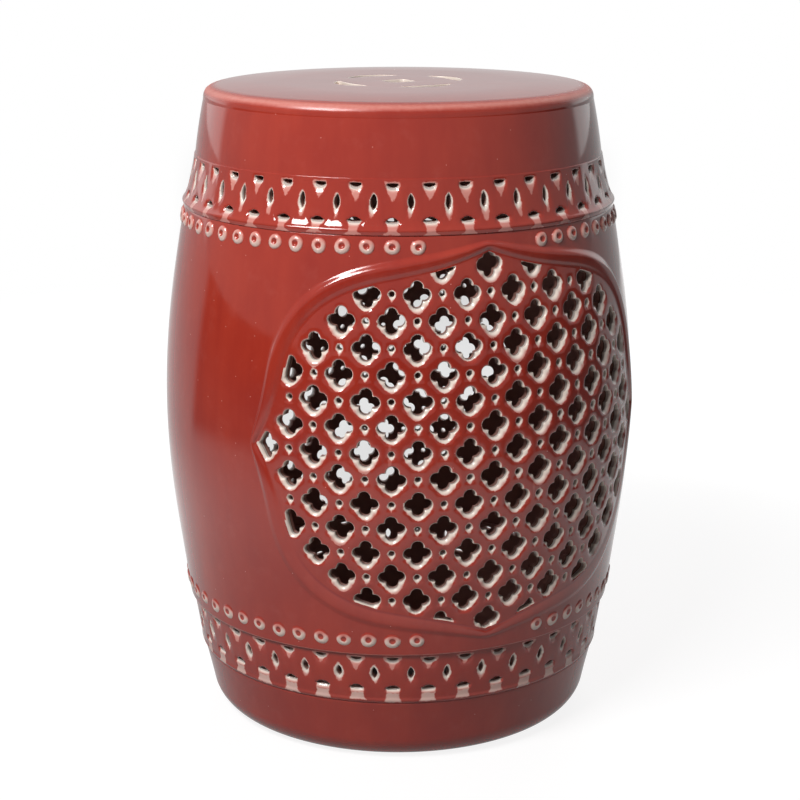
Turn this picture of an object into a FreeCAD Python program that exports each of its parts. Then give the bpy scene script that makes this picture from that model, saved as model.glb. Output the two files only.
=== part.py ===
import FreeCAD, Part
import BOPTools.SplitAPI as SplitAPI
import math
import os

from FreeCAD import Vector

# Glazed ceramic garden stool: a hollow drum with a pierced seat, two pierced bands,
# rows of applied studs and a quatrefoil lattice medallion on the front and on the rear.
# Millimetres. Z is up, the foot stands on Z = 0 and the front medallion faces -Y.
# Angles are in degrees around Z, counted from the front towards +X.

# Storeys of the drum, from the floor up
foot_height = 47.5
lower_band_height = 38.2
body_height = 287.3
upper_band_height = 35.5
shoulder_height = 37.5
seat_thickness = 11.0

# Outer radii of the drum
foot_flat_radius = 119.53
foot_heel_radius = 132.5
foot_side_radius = 139.8
foot_mid_radius = 142.6
lower_band_bottom_radius = 147.4
lower_band_mid_radius = 150.6
body_bottom_radius = 155.6
low_flank_radius = 160.2
mid_flank_radius = 165.5
belly_radius = 169.3
high_flank_radius = 166.8
neck_flank_radius = 161.8
body_top_radius = 152.7
upper_band_mid_radius = 148.2
upper_band_top_radius = 144.6
shoulder_mid_radius = 141.2
seat_radius = 137.6
seat_flat_radius = 126.0

# Small steps where one storey meets the next
lower_ledge_step = 2.2
upper_ledge_lip = 0.8
shoulder_step = 0.6
foot_step = 0.8

# Heights on the foot, and shares of the body's height where its flank radii lie
heel_height = 4.6
foot_side_height = 17.0
foot_mid_height = 30.0
low_flank_share = 0.12
mid_flank_share = 0.26
belly_share = 0.474
high_flank_share = 0.676
neck_flank_share = 0.816

# Walls and the open base
wall_thickness = 8.0
base_thickness = 9.0
base_mouth_radius = 80.0
base_slab_radius = 108.0
seat_spigot_depth = 3.0
seat_spigot_width = 10.0
seat_spigot_clearance = 0.4

# Coin piercing of the seat: four crescents round a square hole
coin_turn = 8.0
crescent_count = 4
crescent_chord_distance = 36.0
crescent_half_length = 21.0
crescent_outer_bulge = 12.0
crescent_inner_bulge = 2.5
coin_square_side = 18.0
coin_square_corner = 3.0

# Pierced bands: flat-topped half lenses, upright lenses and flat-bottomed half lenses
band_columns = 38
half_lens_length = 9.8
half_lens_depth = 4.4
lens_width = 5.4
lens_height = 13.0
band_row_reach = 13.4
upper_rows_rise = 20.0
lower_rows_rise = 22.8

# Applied studs
left_studs = 25
right_studs = 27
left_stud_gap_angle = 17.6
right_stud_gap_angle = 15.2
stud_radius = 5.0
stud_height = 1.9
stud_crest_radius = 3.3
stud_dimple_height = 1.0
stud_edge_height = 0.5
stud_seat_depth = 1.5
upper_stud_drop = 7.3
lower_stud_rise = 11.5

# Medallion outline: a rounded box with a point in the middle of each side
medallion_rise = 145.8
rear_medallion_drop = 4.6
medallion_half_width = 150.0
medallion_half_height = 117.0
side_point_length = 17.0
end_point_length = 14.0
side_point_reach = 50.0
end_point_reach = 75.0
corner_squareness = 3.2
rim_width = 11.0
rim_height = 2.6
rim_side_slope = 0.55
rim_point_share = 0.7

# Quatrefoil lattice inside the outline
lattice_column_pitch = 17.55
lattice_row_pitch = 17.4
lattice_border = 4.0
lobe_radius = 4.2
lobe_offset = 4.8
small_hole_radius = 1.95
small_hole_margin = 2.5
least_clipped_share = 0.12

# How far cutting tools run past the wall on both sides, and past one another
tool_overrun = 12.0
tool_margin = 2.0
clip_share = 1.6
outline_points = 25
profile_samples = 240

# Levels that follow from the storeys
z_lower_band = foot_height
z_body = z_lower_band + lower_band_height
z_upper_band = z_body + body_height
z_shoulder = z_upper_band + upper_band_height
z_seat = z_shoulder + shoulder_height
z_top = z_seat + seat_thickness
z_medallion = z_body + medallion_rise
z_upper_studs = z_upper_band - upper_stud_drop
z_lower_studs = z_body + lower_stud_rise
z_upper_rows = z_upper_band + upper_rows_rise
z_lower_rows = z_lower_band + lower_rows_rise
lower_band_top_radius = body_bottom_radius - lower_ledge_step
upper_band_bottom_radius = body_top_radius + upper_ledge_lip
shoulder_bottom_radius = upper_band_top_radius - shoulder_step
foot_top_radius = lower_band_bottom_radius - foot_step

AXIS = Vector(0, 0, 1)
ORIGIN = Vector(0, 0, 0)


def arc_edge(low, middle, high, inset=0.0):
    """Arc through three (radius, height) stations, moved inwards by inset."""
    points = [Vector(radius - inset, 0, z) for radius, z in (low, middle, high)]
    return Part.Arc(points[0], points[1], points[2]).toShape()


def body_stations():
    """(radius, height) stations of the barrel's outer profile, from the bottom up."""
    shares = (0.0, low_flank_share, mid_flank_share, belly_share)
    shares = shares + (high_flank_share, neck_flank_share, 1.0)
    radii = (body_bottom_radius, low_flank_radius, mid_flank_radius, belly_radius)
    radii = radii + (high_flank_radius, neck_flank_radius, body_top_radius)
    return [(radius, z_body + share * body_height) for radius, share in zip(radii, shares)]


def body_curve(offset=0.0):
    """Smooth barrel profile moved outwards by offset."""
    curve = Part.BSplineCurve()
    curve.interpolate([Vector(radius + offset, 0, z) for radius, z in body_stations()])
    return curve


def sampled_body():
    """Points along the barrel's profile, for reading its radius at a height."""
    curve = body_curve()
    first, last = curve.FirstParameter, curve.LastParameter
    step = (last - first) / profile_samples
    return [curve.value(first + step * index) for index in range(profile_samples + 1)]


BODY_SAMPLES = sampled_body()


def body_radius(z):
    """Outer radius of the barrel at height z."""
    for below, above in zip(BODY_SAMPLES[:-1], BODY_SAMPLES[1:]):
        if z <= above.z:
            share = (z - below.z) / (above.z - below.z)
            return below.x + share * (above.x - below.x)
    return BODY_SAMPLES[-1].x


def body_lean(z):
    """Degrees by which the barrel's outward normal tips up at height z."""
    reach = stud_radius
    change = body_radius(z - reach) - body_radius(z + reach)
    return math.degrees(math.atan2(change, 2 * reach))


def ring_solid(outer, inner):
    """Ring turned from an outer and an inner profile edge that end at the same heights."""
    edges = [outer, inner]
    for end in (0, -1):
        edges.append(Part.makeLine(outer.Vertexes[end].Point, inner.Vertexes[end].Point))
    wire = Part.Wire(Part.__sortEdges__(edges))
    return Part.Face(wire).revolve(ORIGIN, AXIS, 360)


def turned(points_and_arcs):
    """Solid of revolution from a closed chain of straight and three-point arc steps."""
    edges = []
    start = points_and_arcs[0][0]
    here = Vector(start[0], 0, start[1])
    for step in points_and_arcs[1:]:
        stops = [Vector(radius, 0, z) for radius, z in step]
        if len(stops) == 2:
            edges.append(Part.Arc(here, stops[0], stops[1]).toShape())
        else:
            edges.append(Part.makeLine(here, stops[0]))
        here = stops[-1]
    edges.append(Part.makeLine(here, Vector(start[0], 0, start[1])))
    return Part.Face(Part.Wire(edges)).revolve(ORIGIN, AXIS, 360)


def rounded_middle(flat_radius, top, overhang, drop):
    """Point at 45 degrees on the rounding that falls away from a flat top."""
    rounding = (overhang ** 2 + drop ** 2) / (2 * drop)
    share = math.sqrt(0.5)
    return (flat_radius + rounding * share, top - rounding + rounding * share)


def at_angle(shape, angle):
    """Copy of a front-facing shape, carried round the drum by angle."""
    copy = shape.copy()
    copy.rotate(ORIGIN, AXIS, angle)
    return copy


def raised(shape, z):
    """Copy of a shape lifted by z."""
    copy = shape.copy()
    copy.translate(Vector(0, 0, z))
    return copy


def front_prism(face, radius):
    """Cutting prism from a face in the XZ plane, through the front wall at a radius."""
    depth = wall_thickness + 2 * tool_overrun
    prism = face.extrude(Vector(0, -depth, 0))
    prism.translate(Vector(0, tool_overrun + wall_thickness - radius, 0))
    return prism


def xz(x, z):
    """Point in the XZ plane."""
    return Vector(x, 0, z)


def bulged(start, middle, end):
    """Arc edge through three points of the XZ plane, each given as (x, z)."""
    return Part.Arc(xz(*start), xz(*middle), xz(*end)).toShape()


def half_lens_face(direction):
    """Segment of a circle on a flat edge: direction is +1 with its arch up, -1 down."""
    half = half_lens_length / 2
    arch = bulged((-half, 0), (0, direction * half_lens_depth), (half, 0))
    flat = Part.makeLine(xz(half, 0), xz(-half, 0))
    return Part.Face(Part.Wire([arch, flat]))


def lens_face():
    """Upright pointed lens between two arcs."""
    half = lens_height / 2
    right = bulged((0, -half), (lens_width / 2, 0), (0, half))
    left = bulged((0, half), (-lens_width / 2, 0), (0, -half))
    return Part.Face(Part.Wire([right, left]))


def band_tools(radius, z_rows):
    """Cutting prisms for the three staggered rows of a pierced band."""
    step = 360.0 / band_columns
    upright = raised(front_prism(lens_face(), radius), z_rows)
    top = raised(front_prism(half_lens_face(-1), radius), z_rows + band_row_reach)
    bottom = raised(front_prism(half_lens_face(1), radius), z_rows - band_row_reach)
    tools = []
    for column in range(band_columns):
        tools.append(at_angle(upright, column * step))
        tools.append(at_angle(top, (column + 0.5) * step))
        tools.append(at_angle(bottom, (column + 0.5) * step))
    return Part.makeCompound(tools)


def pierced_band(low, middle, high, z_rows):
    """Band turned through three outer stations, with its three rows cut out."""
    outer = arc_edge(low, middle, high)
    inner = arc_edge(low, middle, high, wall_thickness)
    ring = ring_solid(outer, inner)
    return ring.cut(band_tools(middle[0], z_rows))


def quarter_outline(grow):
    """Points (across, up) of a quarter of the medallion outline, from side to top.

    A superellipse with a pointed swelling added at the end of each half axis. The swelling
    is blunter along the moulding's outer edge.
    """
    power = 2.0 / corner_squareness
    blunt = 1 - (1 - rim_point_share) * max(0.0, grow) / rim_width
    points = []
    for index in range(outline_points):
        turn = math.pi / 2 * index / (outline_points - 1)
        cosine = math.cos(turn) if index < outline_points - 1 else 0.0
        across = (medallion_half_width + grow) * cosine ** power
        up = (medallion_half_height + grow) * math.sin(turn) ** power
        side = blunt * side_point_length * max(0.0, 1 - up / side_point_reach) ** 2
        end = blunt * end_point_length * max(0.0, 1 - across / end_point_reach) ** 2
        points.append((across + side, up + end))
    return points


def outline_reach(across, up, grow):
    """Distance from a point in to the medallion outline, along its ray from the centre."""
    angle = math.atan2(abs(up), abs(across))
    points = quarter_outline(grow)
    limit = math.hypot(*points[-1])
    for first, second in zip(points[:-1], points[1:]):
        first_angle = math.atan2(first[1], first[0])
        second_angle = math.atan2(second[1], second[0])
        if first_angle <= angle <= second_angle:
            share = (angle - first_angle) / (second_angle - first_angle)
            here_across = first[0] + share * (second[0] - first[0])
            here_up = first[1] + share * (second[1] - first[1])
            limit = math.hypot(here_across, here_up)
            break
    return limit - math.hypot(across, up)


def on_drum(across, z, radius):
    """Point at an arc distance across the front, a height and a radius."""
    angle = across / belly_radius
    return Vector(radius * math.sin(angle), -radius * math.cos(angle), z)


def outline_surface(middle, inner_grow, inner_offset, outer_grow, outer_offset):
    """Shell of four ruled faces that stands through the wall along the outline.

    The outline is centred at the height middle. The offsets are distances from the barrel's
    surface, less than 0 inside it.
    """
    faces = []
    for side, end in ((1, 1), (-1, 1), (-1, -1), (1, -1)):
        edges = []
        for grow, offset in ((inner_grow, inner_offset), (outer_grow, outer_offset)):
            points = []
            for across, up in quarter_outline(grow):
                z = middle + end * up
                points.append(on_drum(side * across, z, body_radius(z) + offset))
            curve = Part.BSplineCurve()
            curve.interpolate(points)
            edges.append(curve.toShape())
        faces.append(Part.makeRuledSurface(edges[0], edges[1]))
    return Part.makeShell(faces)


def by_volume(shape):
    """Solids of a shape from the smallest to the largest."""
    return sorted(shape.Solids, key=lambda solid: solid.Volume)


def split(solid, surfaces):
    """Solids that surfaces part a solid into, from the smallest to the largest."""
    return by_volume(SplitAPI.slice(solid, surfaces, "Split", 0.0))


def body_ring(inner_offset, outer_offset):
    """Ring between two offsets of the barrel's outer profile."""
    outer = body_curve(outer_offset).toShape()
    inner = body_curve(inner_offset).toShape()
    return ring_solid(outer, inner)


def quatrefoil_face():
    """Four overlapping round lobes as one face in the XZ plane."""
    notch = lobe_offset / 2 + math.sqrt(lobe_radius ** 2 / 2 - lobe_offset ** 2 / 4)
    tip = lobe_offset + lobe_radius
    notches = [(notch, notch), (-notch, notch), (-notch, -notch), (notch, -notch)]
    tips = [(tip, 0), (0, tip), (-tip, 0), (0, -tip)]
    arcs = [bulged(notches[index - 1], tips[index], notches[index]) for index in range(4)]
    return Part.Face(Part.Wire(arcs))


def small_hole_face():
    """Round face in the XZ plane, made of an upper and a lower half circle."""
    side = small_hole_radius * math.sqrt(0.5)
    first, second = (side, side), (-side, -side)
    upper = bulged(first, (-side, side), second)
    lower = bulged(second, (side, -side), first)
    return Part.Face(Part.Wire([upper, lower]))


def lattice_tools(middle):
    """Quatrefoils and small round holes in turn, clipped at the medallion's border."""
    through = wall_thickness + tool_overrun
    inner_end, outer_end = -through - tool_margin, tool_overrun + tool_margin
    border = outline_surface(middle, -lattice_border, inner_end, -lattice_border, outer_end)
    room = body_ring(-through, tool_overrun)
    clip = split(room, [border])[0]
    foil = front_prism(quatrefoil_face(), belly_radius)
    foil_reach = lobe_offset + lobe_radius
    dot = front_prism(small_hole_face(), belly_radius)
    column_angle = math.degrees(lattice_column_pitch / belly_radius)
    half_width = medallion_half_width + side_point_length
    half_height = medallion_half_height + end_point_length
    columns = int(half_width / lattice_column_pitch) + 1
    rows = int(half_height / lattice_row_pitch) + 1
    tools = []
    for column in range(-columns, columns + 1):
        for row in range(-rows, rows + 1):
            across = column * lattice_column_pitch
            up = row * lattice_row_pitch
            margin = outline_reach(across, up, -lattice_border)
            foil_here = (column + row) % 2 == 1
            if foil_here and margin > -foil_reach:
                tool = at_angle(raised(foil, middle + up), column * column_angle)
                if margin < clip_share * foil_reach:
                    tool = clipped(tool, clip)
                if tool:
                    tools.append(tool)
            if not foil_here and margin > small_hole_margin:
                tools.append(at_angle(raised(dot, middle + up), column * column_angle))
    return Part.makeCompound(tools)


def clipped(tool, clip):
    """Part of a quatrefoil tool inside the border, or None where too little is left."""
    inside = tool.common(clip)
    full = quatrefoil_face().Area * (wall_thickness + tool_overrun)
    if not inside.Solids or inside.Volume < least_clipped_share * full:
        return None
    return by_volume(inside)[-1]


def stud(z):
    """One dished stud on the front of the barrel at height z, its back shaped to the wall."""
    back = -stud_seat_depth
    slope = stud_radius - stud_crest_radius
    shoulder = rounded_middle(stud_crest_radius, stud_height, slope, stud_height - stud_edge_height)
    dip = stud_height - stud_dimple_height
    hollow = (stud_crest_radius ** 2 + dip ** 2) / (2 * dip)
    half_turn = math.asin(stud_crest_radius / hollow) / 2
    hollow_middle = (
        hollow * math.sin(half_turn),
        stud_dimple_height + hollow * (1 - math.cos(half_turn)),
    )
    solid = turned([
        [(0, back)],
        [(stud_radius, back)],
        [(stud_radius, stud_edge_height)],
        [shoulder, (stud_crest_radius, stud_height)],
        [hollow_middle, (0, stud_dimple_height)],
    ])
    solid.rotate(ORIGIN, Vector(1, 0, 0), 90 - body_lean(z))
    solid.translate(Vector(0, -body_radius(z), z))
    return solid.cut(body_ring(-wall_thickness, 0.0))


def stud_run(first_stud, side):
    """Studs from the front medallion round one side to the rear one; side is +1 or -1."""
    count, gap = left_studs, left_stud_gap_angle
    if side > 0:
        count, gap = right_studs, right_stud_gap_angle
    step = (180.0 - 2 * gap) / (count - 1)
    angles = [gap + step * index for index in range(count)]
    return Part.makeCompound([at_angle(first_stud, side * angle) for angle in angles])


def crescent_tool():
    """Crescent slot of the seat, at +X of its centre, as a cutting prism along Z."""
    ends = [Vector(crescent_chord_distance, side * crescent_half_length, 0) for side in (-1, 1)]
    outside = Vector(crescent_chord_distance + crescent_outer_bulge, 0, 0)
    inside = Vector(crescent_chord_distance + crescent_inner_bulge, 0, 0)
    outer = Part.Arc(ends[0], outside, ends[1]).toShape()
    inner = Part.Arc(ends[1], inside, ends[0]).toShape()
    face = Part.Face(Part.Wire([outer, inner]))
    depth = seat_thickness + seat_spigot_depth + 2 * tool_overrun
    return raised(face.extrude(Vector(0, 0, depth)), z_seat - seat_spigot_depth - tool_overrun)


def coin_square_tool():
    """Square hole with rounded corners in the middle of the seat."""
    depth = seat_thickness + seat_spigot_depth + 2 * tool_overrun
    half = coin_square_side / 2
    corner = Vector(-half, -half, z_seat - seat_spigot_depth - tool_overrun)
    block = Part.makeBox(coin_square_side, coin_square_side, depth, corner)
    upright = [edge for edge in block.Edges if abs(edge.tangentAt(edge.FirstParameter).z) > 0.5]
    return block.makeFillet(coin_square_corner, upright)


def seat_disc():
    """Seat slab with a rounded rim, a spigot ring inside the shoulder and the coin piercing."""
    spigot = seat_radius - wall_thickness - seat_spigot_clearance
    spigot_low = z_seat - seat_spigot_depth
    overhang = seat_radius - seat_flat_radius
    rim_middle = rounded_middle(seat_flat_radius, z_top, overhang, seat_thickness)
    slab = turned([
        [(0, z_seat)],
        [(spigot - seat_spigot_width, z_seat)],
        [(spigot - seat_spigot_width, spigot_low)],
        [(spigot, spigot_low)],
        [(spigot, z_seat)],
        [(seat_radius, z_seat)],
        [rim_middle, (seat_flat_radius, z_top)],
        [(0, z_top)],
    ])
    tools = [at_angle(coin_square_tool(), coin_turn)]
    for index in range(crescent_count):
        tools.append(at_angle(crescent_tool(), coin_turn + index * 360.0 / crescent_count))
    return slab.cut(Part.makeCompound(tools))


def shoulder_wall():
    """Plain wall between the upper pierced band and the seat."""
    stations = (
        (shoulder_bottom_radius, z_shoulder),
        (shoulder_mid_radius, (z_shoulder + z_seat) / 2),
        (seat_radius, z_seat),
    )
    return ring_solid(arc_edge(*stations), arc_edge(*stations, inset=wall_thickness))


def upper_pierced_band():
    """Raised pierced band above the barrel."""
    low = (upper_band_bottom_radius, z_upper_band)
    middle = (upper_band_mid_radius, (z_upper_band + z_shoulder) / 2)
    high = (upper_band_top_radius, z_shoulder)
    return pierced_band(low, middle, high, z_upper_rows)


def lower_pierced_band():
    """Pierced band between the barrel and the foot."""
    low = (lower_band_bottom_radius, z_lower_band)
    middle = (lower_band_mid_radius, (z_lower_band + z_body) / 2)
    high = (lower_band_top_radius, z_body)
    return pierced_band(low, middle, high, z_lower_rows)


def foot_wall():
    """Plain foot with its rounded heel, standing on the floor."""
    inner_side = foot_side_radius - wall_thickness
    inner_mid = foot_mid_radius - wall_thickness
    inner_top = foot_top_radius - wall_thickness
    return turned([
        [(base_slab_radius, 0)],
        [(foot_flat_radius, 0)],
        [(foot_heel_radius, heel_height), (foot_side_radius, foot_side_height)],
        [(foot_mid_radius, foot_mid_height), (foot_top_radius, foot_height)],
        [(inner_top, foot_height)],
        [(inner_mid, foot_mid_height), (inner_side, foot_side_height)],
        [(base_slab_radius, base_thickness)],
    ])


def base_ring():
    """Flat base slab with its round mouth, luted inside the foot."""
    return turned([
        [(base_mouth_radius, 0)],
        [(base_slab_radius, 0)],
        [(base_slab_radius, base_thickness)],
        [(base_mouth_radius, base_thickness)],
    ])


def side_wall(wall, side):
    """Half of the barrel wall, on the +X side or the -X side."""
    reach = belly_radius + tool_overrun
    corner = Vector(0 if side > 0 else -reach, -reach, z_body - tool_overrun)
    half = Part.makeBox(reach, 2 * reach, body_height + 2 * tool_overrun, corner)
    return wall.common(half)


def medallion_rim(middle):
    """Raised moulding with sloping sides that follows the medallion outline."""
    above = rim_height + tool_margin
    below = -tool_margin
    spread = rim_side_slope
    inner = outline_surface(middle, spread * below, below, spread * above, above)
    outer_low = rim_width - spread * below
    outer = outline_surface(middle, outer_low, below, rim_width - spread * above, above)
    return split(body_ring(0.0, rim_height), [inner, outer])[0]


def save(name, shape):
    """Write one piece of the stool."""
    shape.exportStep(os.path.join("parts", name + ".step"))
    print(name, len(shape.Solids), round(shape.Volume), shape.isValid())


def main():
    """Build every piece and write it."""
    os.makedirs("parts", exist_ok=True)
    save("seat_disc", seat_disc())
    save("shoulder_wall", shoulder_wall())
    save("upper_pierced_band", upper_pierced_band())
    save("lower_pierced_band", lower_pierced_band())
    save("foot_wall", foot_wall())
    save("base_ring", base_ring())

    levels = {"front": z_medallion, "rear": z_medallion - rear_medallion_drop}
    turns = {"front": 0, "rear": 180}
    cuts = []
    for face, middle in levels.items():
        cut = outline_surface(middle, 0.0, -wall_thickness - tool_overrun, 0.0, tool_overrun)
        cuts.append(at_angle(cut, turns[face]))
    pieces = split(body_ring(-wall_thickness, 0.0), cuts)
    wall = pieces[-1]
    fields = sorted(pieces[:-1], key=lambda solid: solid.CenterOfMass.y)
    save("side_wall_right", side_wall(wall, 1))
    save("side_wall_left", side_wall(wall, -1))

    for (face, middle), field in zip(levels.items(), fields):
        tools = at_angle(lattice_tools(middle), turns[face])
        save(face + "_lattice_panel", by_volume(field.cut(tools))[-1])
        save(face + "_medallion_rim", at_angle(medallion_rim(middle), turns[face]))

    upper_stud = stud(z_upper_studs)
    lower_stud = stud(z_lower_studs)
    save("upper_studs_right", stud_run(upper_stud, 1))
    save("upper_studs_left", stud_run(upper_stud, -1))
    save("lower_studs_right", stud_run(lower_stud, 1))
    save("lower_studs_left", stud_run(lower_stud, -1))


main()
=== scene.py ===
"""Glazed ceramic garden stool, dressed for its portrait.

The stool is a hollow drum. Its pieces are worked out in millimetres and written in metres.
Across is an arc length round the drum from the front, up is a height, and depth runs inwards
from the glazed face.
"""
import logging
import math
from collections.abc import Callable, Sequence
from dataclasses import dataclass, field
from enum import Enum

import bmesh
import bpy
import numpy as np
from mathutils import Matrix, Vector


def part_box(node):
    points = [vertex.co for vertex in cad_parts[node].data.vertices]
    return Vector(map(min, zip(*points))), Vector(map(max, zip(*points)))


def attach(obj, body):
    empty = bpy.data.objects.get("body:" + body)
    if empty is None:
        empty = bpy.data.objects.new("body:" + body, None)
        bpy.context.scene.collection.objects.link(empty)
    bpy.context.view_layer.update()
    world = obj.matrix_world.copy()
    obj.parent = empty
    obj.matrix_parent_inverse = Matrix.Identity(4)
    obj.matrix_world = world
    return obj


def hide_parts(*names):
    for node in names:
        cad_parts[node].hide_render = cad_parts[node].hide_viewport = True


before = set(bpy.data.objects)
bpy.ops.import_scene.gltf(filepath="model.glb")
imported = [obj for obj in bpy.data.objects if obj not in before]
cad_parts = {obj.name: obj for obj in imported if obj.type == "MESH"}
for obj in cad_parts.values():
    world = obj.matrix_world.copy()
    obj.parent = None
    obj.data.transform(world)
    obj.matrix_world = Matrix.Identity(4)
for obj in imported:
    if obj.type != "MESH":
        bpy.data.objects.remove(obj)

Array = np.ndarray
Level = Callable[[Array], Array]
Radius = Callable[[Array], Array]
Cell = tuple[Array, Array, Array]
Colour = tuple[float, float, float]
Pair = tuple[float, float]
Fade = tuple[float, float, float, float]
Noise = tuple[float, ...]
Socket = bpy.types.NodeSocket

MM = 0.001
SHARP_ANGLE = math.radians(50)
MERGE_MM = 0.002
HALO_REACH = 4.0
RUN_ZERO = 3.0
RUN_SPREADS = (0.05, 0.07, 0.3)
RUN_MARGIN = 2.0
RUN_LONGEST = 1.3

log = logging.getLogger("stool")


class Coat(Enum):
    """Finishes of the stool, named as their slots in the record."""

    RED_GLAZE = "red_glaze"
    BARE_CLAY = "bare_clay"


class Side(Enum):
    """Direction of a piece round the drum."""

    RIGHT = 1
    LEFT = -1


class Face(Enum):
    """Half turn that brings a front piece to its place."""

    FRONT = 0.0
    REAR = math.pi


def heights_of(node: str) -> Pair:
    """Lowest and highest point of a CAD node, in millimetres."""
    low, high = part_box(node)
    return low[2] / MM, high[2] / MM


def smooth_curve(places: Sequence[float], values: Sequence[float]) -> Radius:
    """Natural cubic spline through given values.

    The second slopes solve the tridiagonal continuity equations, and each stretch is the
    cubic that has them at its ends.

    Args:
        places: Rising places along the curve.
        values: Value at each place.

    Returns:
        A function of an array of places.
    """
    x, y = np.asarray(places, float), np.asarray(values, float)
    step = np.diff(x)
    count = len(x)
    matrix, right = np.eye(count), np.zeros(count)
    for k in range(1, count - 1):
        matrix[k, k - 1 : k + 2] = step[k - 1], 2 * (step[k - 1] + step[k]), step[k]
        right[k] = 6 * ((y[k + 1] - y[k]) / step[k] - (y[k] - y[k - 1]) / step[k - 1])
    bend = np.linalg.solve(matrix, right)

    def curve(place: Array) -> Array:
        """Value of the spline at each place."""
        place = np.asarray(place, float)
        k = np.clip(np.searchsorted(x, place) - 1, 0, count - 2)
        h, before, after = step[k], place - x[k], x[k + 1] - place
        cubic = (bend[k] * after**3 + bend[k + 1] * before**3) / (6 * h)
        return cubic + (y[k] / h - bend[k] * h / 6) * after + (y[k + 1] / h - bend[k + 1] * h / 6) * before

    return curve


def arc_through(start: Sequence[float], middle: Sequence[float], end: Sequence[float], count: int) -> Array:
    """Points on the circle through three points.

    The centre is as far from all three, and the points turn evenly about it.

    Args:
        start: First point.
        middle: Point on the way.
        end: Last point.
        count: Number of points, both ends among them.

    Returns:
        Array of count points.
    """
    a, b, c = (np.asarray(point, float) for point in (start, middle, end))
    rows = 2 * np.stack([b - a, c - a])
    centre = np.linalg.solve(rows, [b @ b - a @ a, c @ c - a @ a])
    angles = np.unwrap([math.atan2(*(point - centre)[::-1]) for point in (a, b, c)])
    turn = np.linspace(angles[0], angles[2], count)
    return centre + np.hypot(*(a - centre)) * np.stack([np.cos(turn), np.sin(turn)], 1)


def soft_max(first: Array, second: Array, blend: float) -> Array:
    """Larger of two fields, rounded over a distance of blend where they cross."""
    overlap = np.maximum(blend - np.abs(first - second), 0) / blend
    return np.maximum(first, second) + overlap**2 * blend / 4


def smooth_step(value: Array, low: float, high: float) -> Array:
    """Cubic rise from 0 at low to 1 at high."""
    share = np.clip((value - low) / (high - low), 0, 1)
    return share**2 * (3 - 2 * share)


def quarter_round(distance: Array, reach: float) -> Array:
    """Fall of a quarter circle, from 1 at an edge to 0 at a distance of reach from it."""
    return 1 - np.sqrt(1 - np.clip(1 - distance / reach, 0, 1) ** 2)


@dataclass
class Skin:
    """Points, faces and glaze marks gathered for one mesh.

    Halo falls from 1 at an opening's edge to 0, run rises through RUN_ZERO at the border of a pale
    glaze run, depth is the distance in from the glazed face, crest is 1 where the glaze is
    thinnest on a raised edge, or less than 0 where it pools, and matt is where it is duller.
    """

    points: list[Array] = field(default_factory=list)
    quads: list[Array] = field(default_factory=list)
    triangles: list[Array] = field(default_factory=list)
    marks: dict[str, list[Array]] = field(
        default_factory=lambda: {"halo": [], "run": [], "depth": [], "crest": [], "matt": []}
    )
    count: int = 0

    def add_points(self, points: Array, **marks: Array) -> int:
        """Add points with their marks, and return the first one's number."""
        first, size = self.count, len(points)
        self.points.append(points)
        for name, values in self.marks.items():
            values.append(np.broadcast_to(np.asarray(marks.get(name, 0.0), float), (size,)))
        self.count += size
        return first

    def add_grid(self, grid: Array, closed: bool, **marks: Array) -> None:
        """Add a grid of points and the quads between them.

        Args:
            grid: Points, rows by columns by 3.
            closed: True where the last column meets the first.
            marks: Glaze marks, each rows by columns or one number.
        """
        rows, columns = grid.shape[:2]
        flat = {
            name: np.broadcast_to(np.asarray(value, float), (rows, columns)).ravel()
            for name, value in marks.items()
        }
        first = self.add_points(grid.reshape(-1, 3), **flat)
        self.quads.append(first + grid_quads(rows, columns, closed))


def grid_quads(rows: int, columns: int, closed: bool) -> Array:
    """Corner numbers of the quads in a grid of rows by columns."""
    numbers = np.arange(rows * columns).reshape(rows, columns)
    if closed:
        numbers = np.concatenate([numbers, numbers[:, :1]], 1)
    corners = numbers[:-1, :-1], numbers[:-1, 1:], numbers[1:, 1:], numbers[1:, :-1]
    return np.stack([corner.ravel() for corner in corners], 1)


def round_drum(across: Array, height: Array, radius: Array, reference: float, turn: float = 0.0) -> Array:
    """Points round the drum.

    The angle is across over the reference radius, plus the turn, counted from the front.
    """
    angle = across / reference + turn
    return np.stack(np.broadcast_arrays(radius * np.sin(angle), -radius * np.cos(angle), height), -1)


def turned(profile: Array, columns: int, crest: Array | float = 0.0, depth: Array | float = 0.0) -> Skin:
    """Closed ring from a closed profile of (radius, height) points, carried round the axis."""
    loop = np.concatenate([profile, profile[:1]])
    angle = np.linspace(0, 2 * np.pi, columns, endpoint=False)[None, :]
    marks = []
    for values in (crest, depth):
        values = np.broadcast_to(np.asarray(values, float), (len(profile),))
        marks.append(np.concatenate([values, values[:1]])[:, None])
    skin = Skin()
    grid = round_drum(angle, loop[:, 1:], loop[:, :1], 1.0)
    skin.add_grid(grid, True, crest=marks[0] + 0 * angle, depth=marks[1] + 0 * angle)
    return skin


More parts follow.
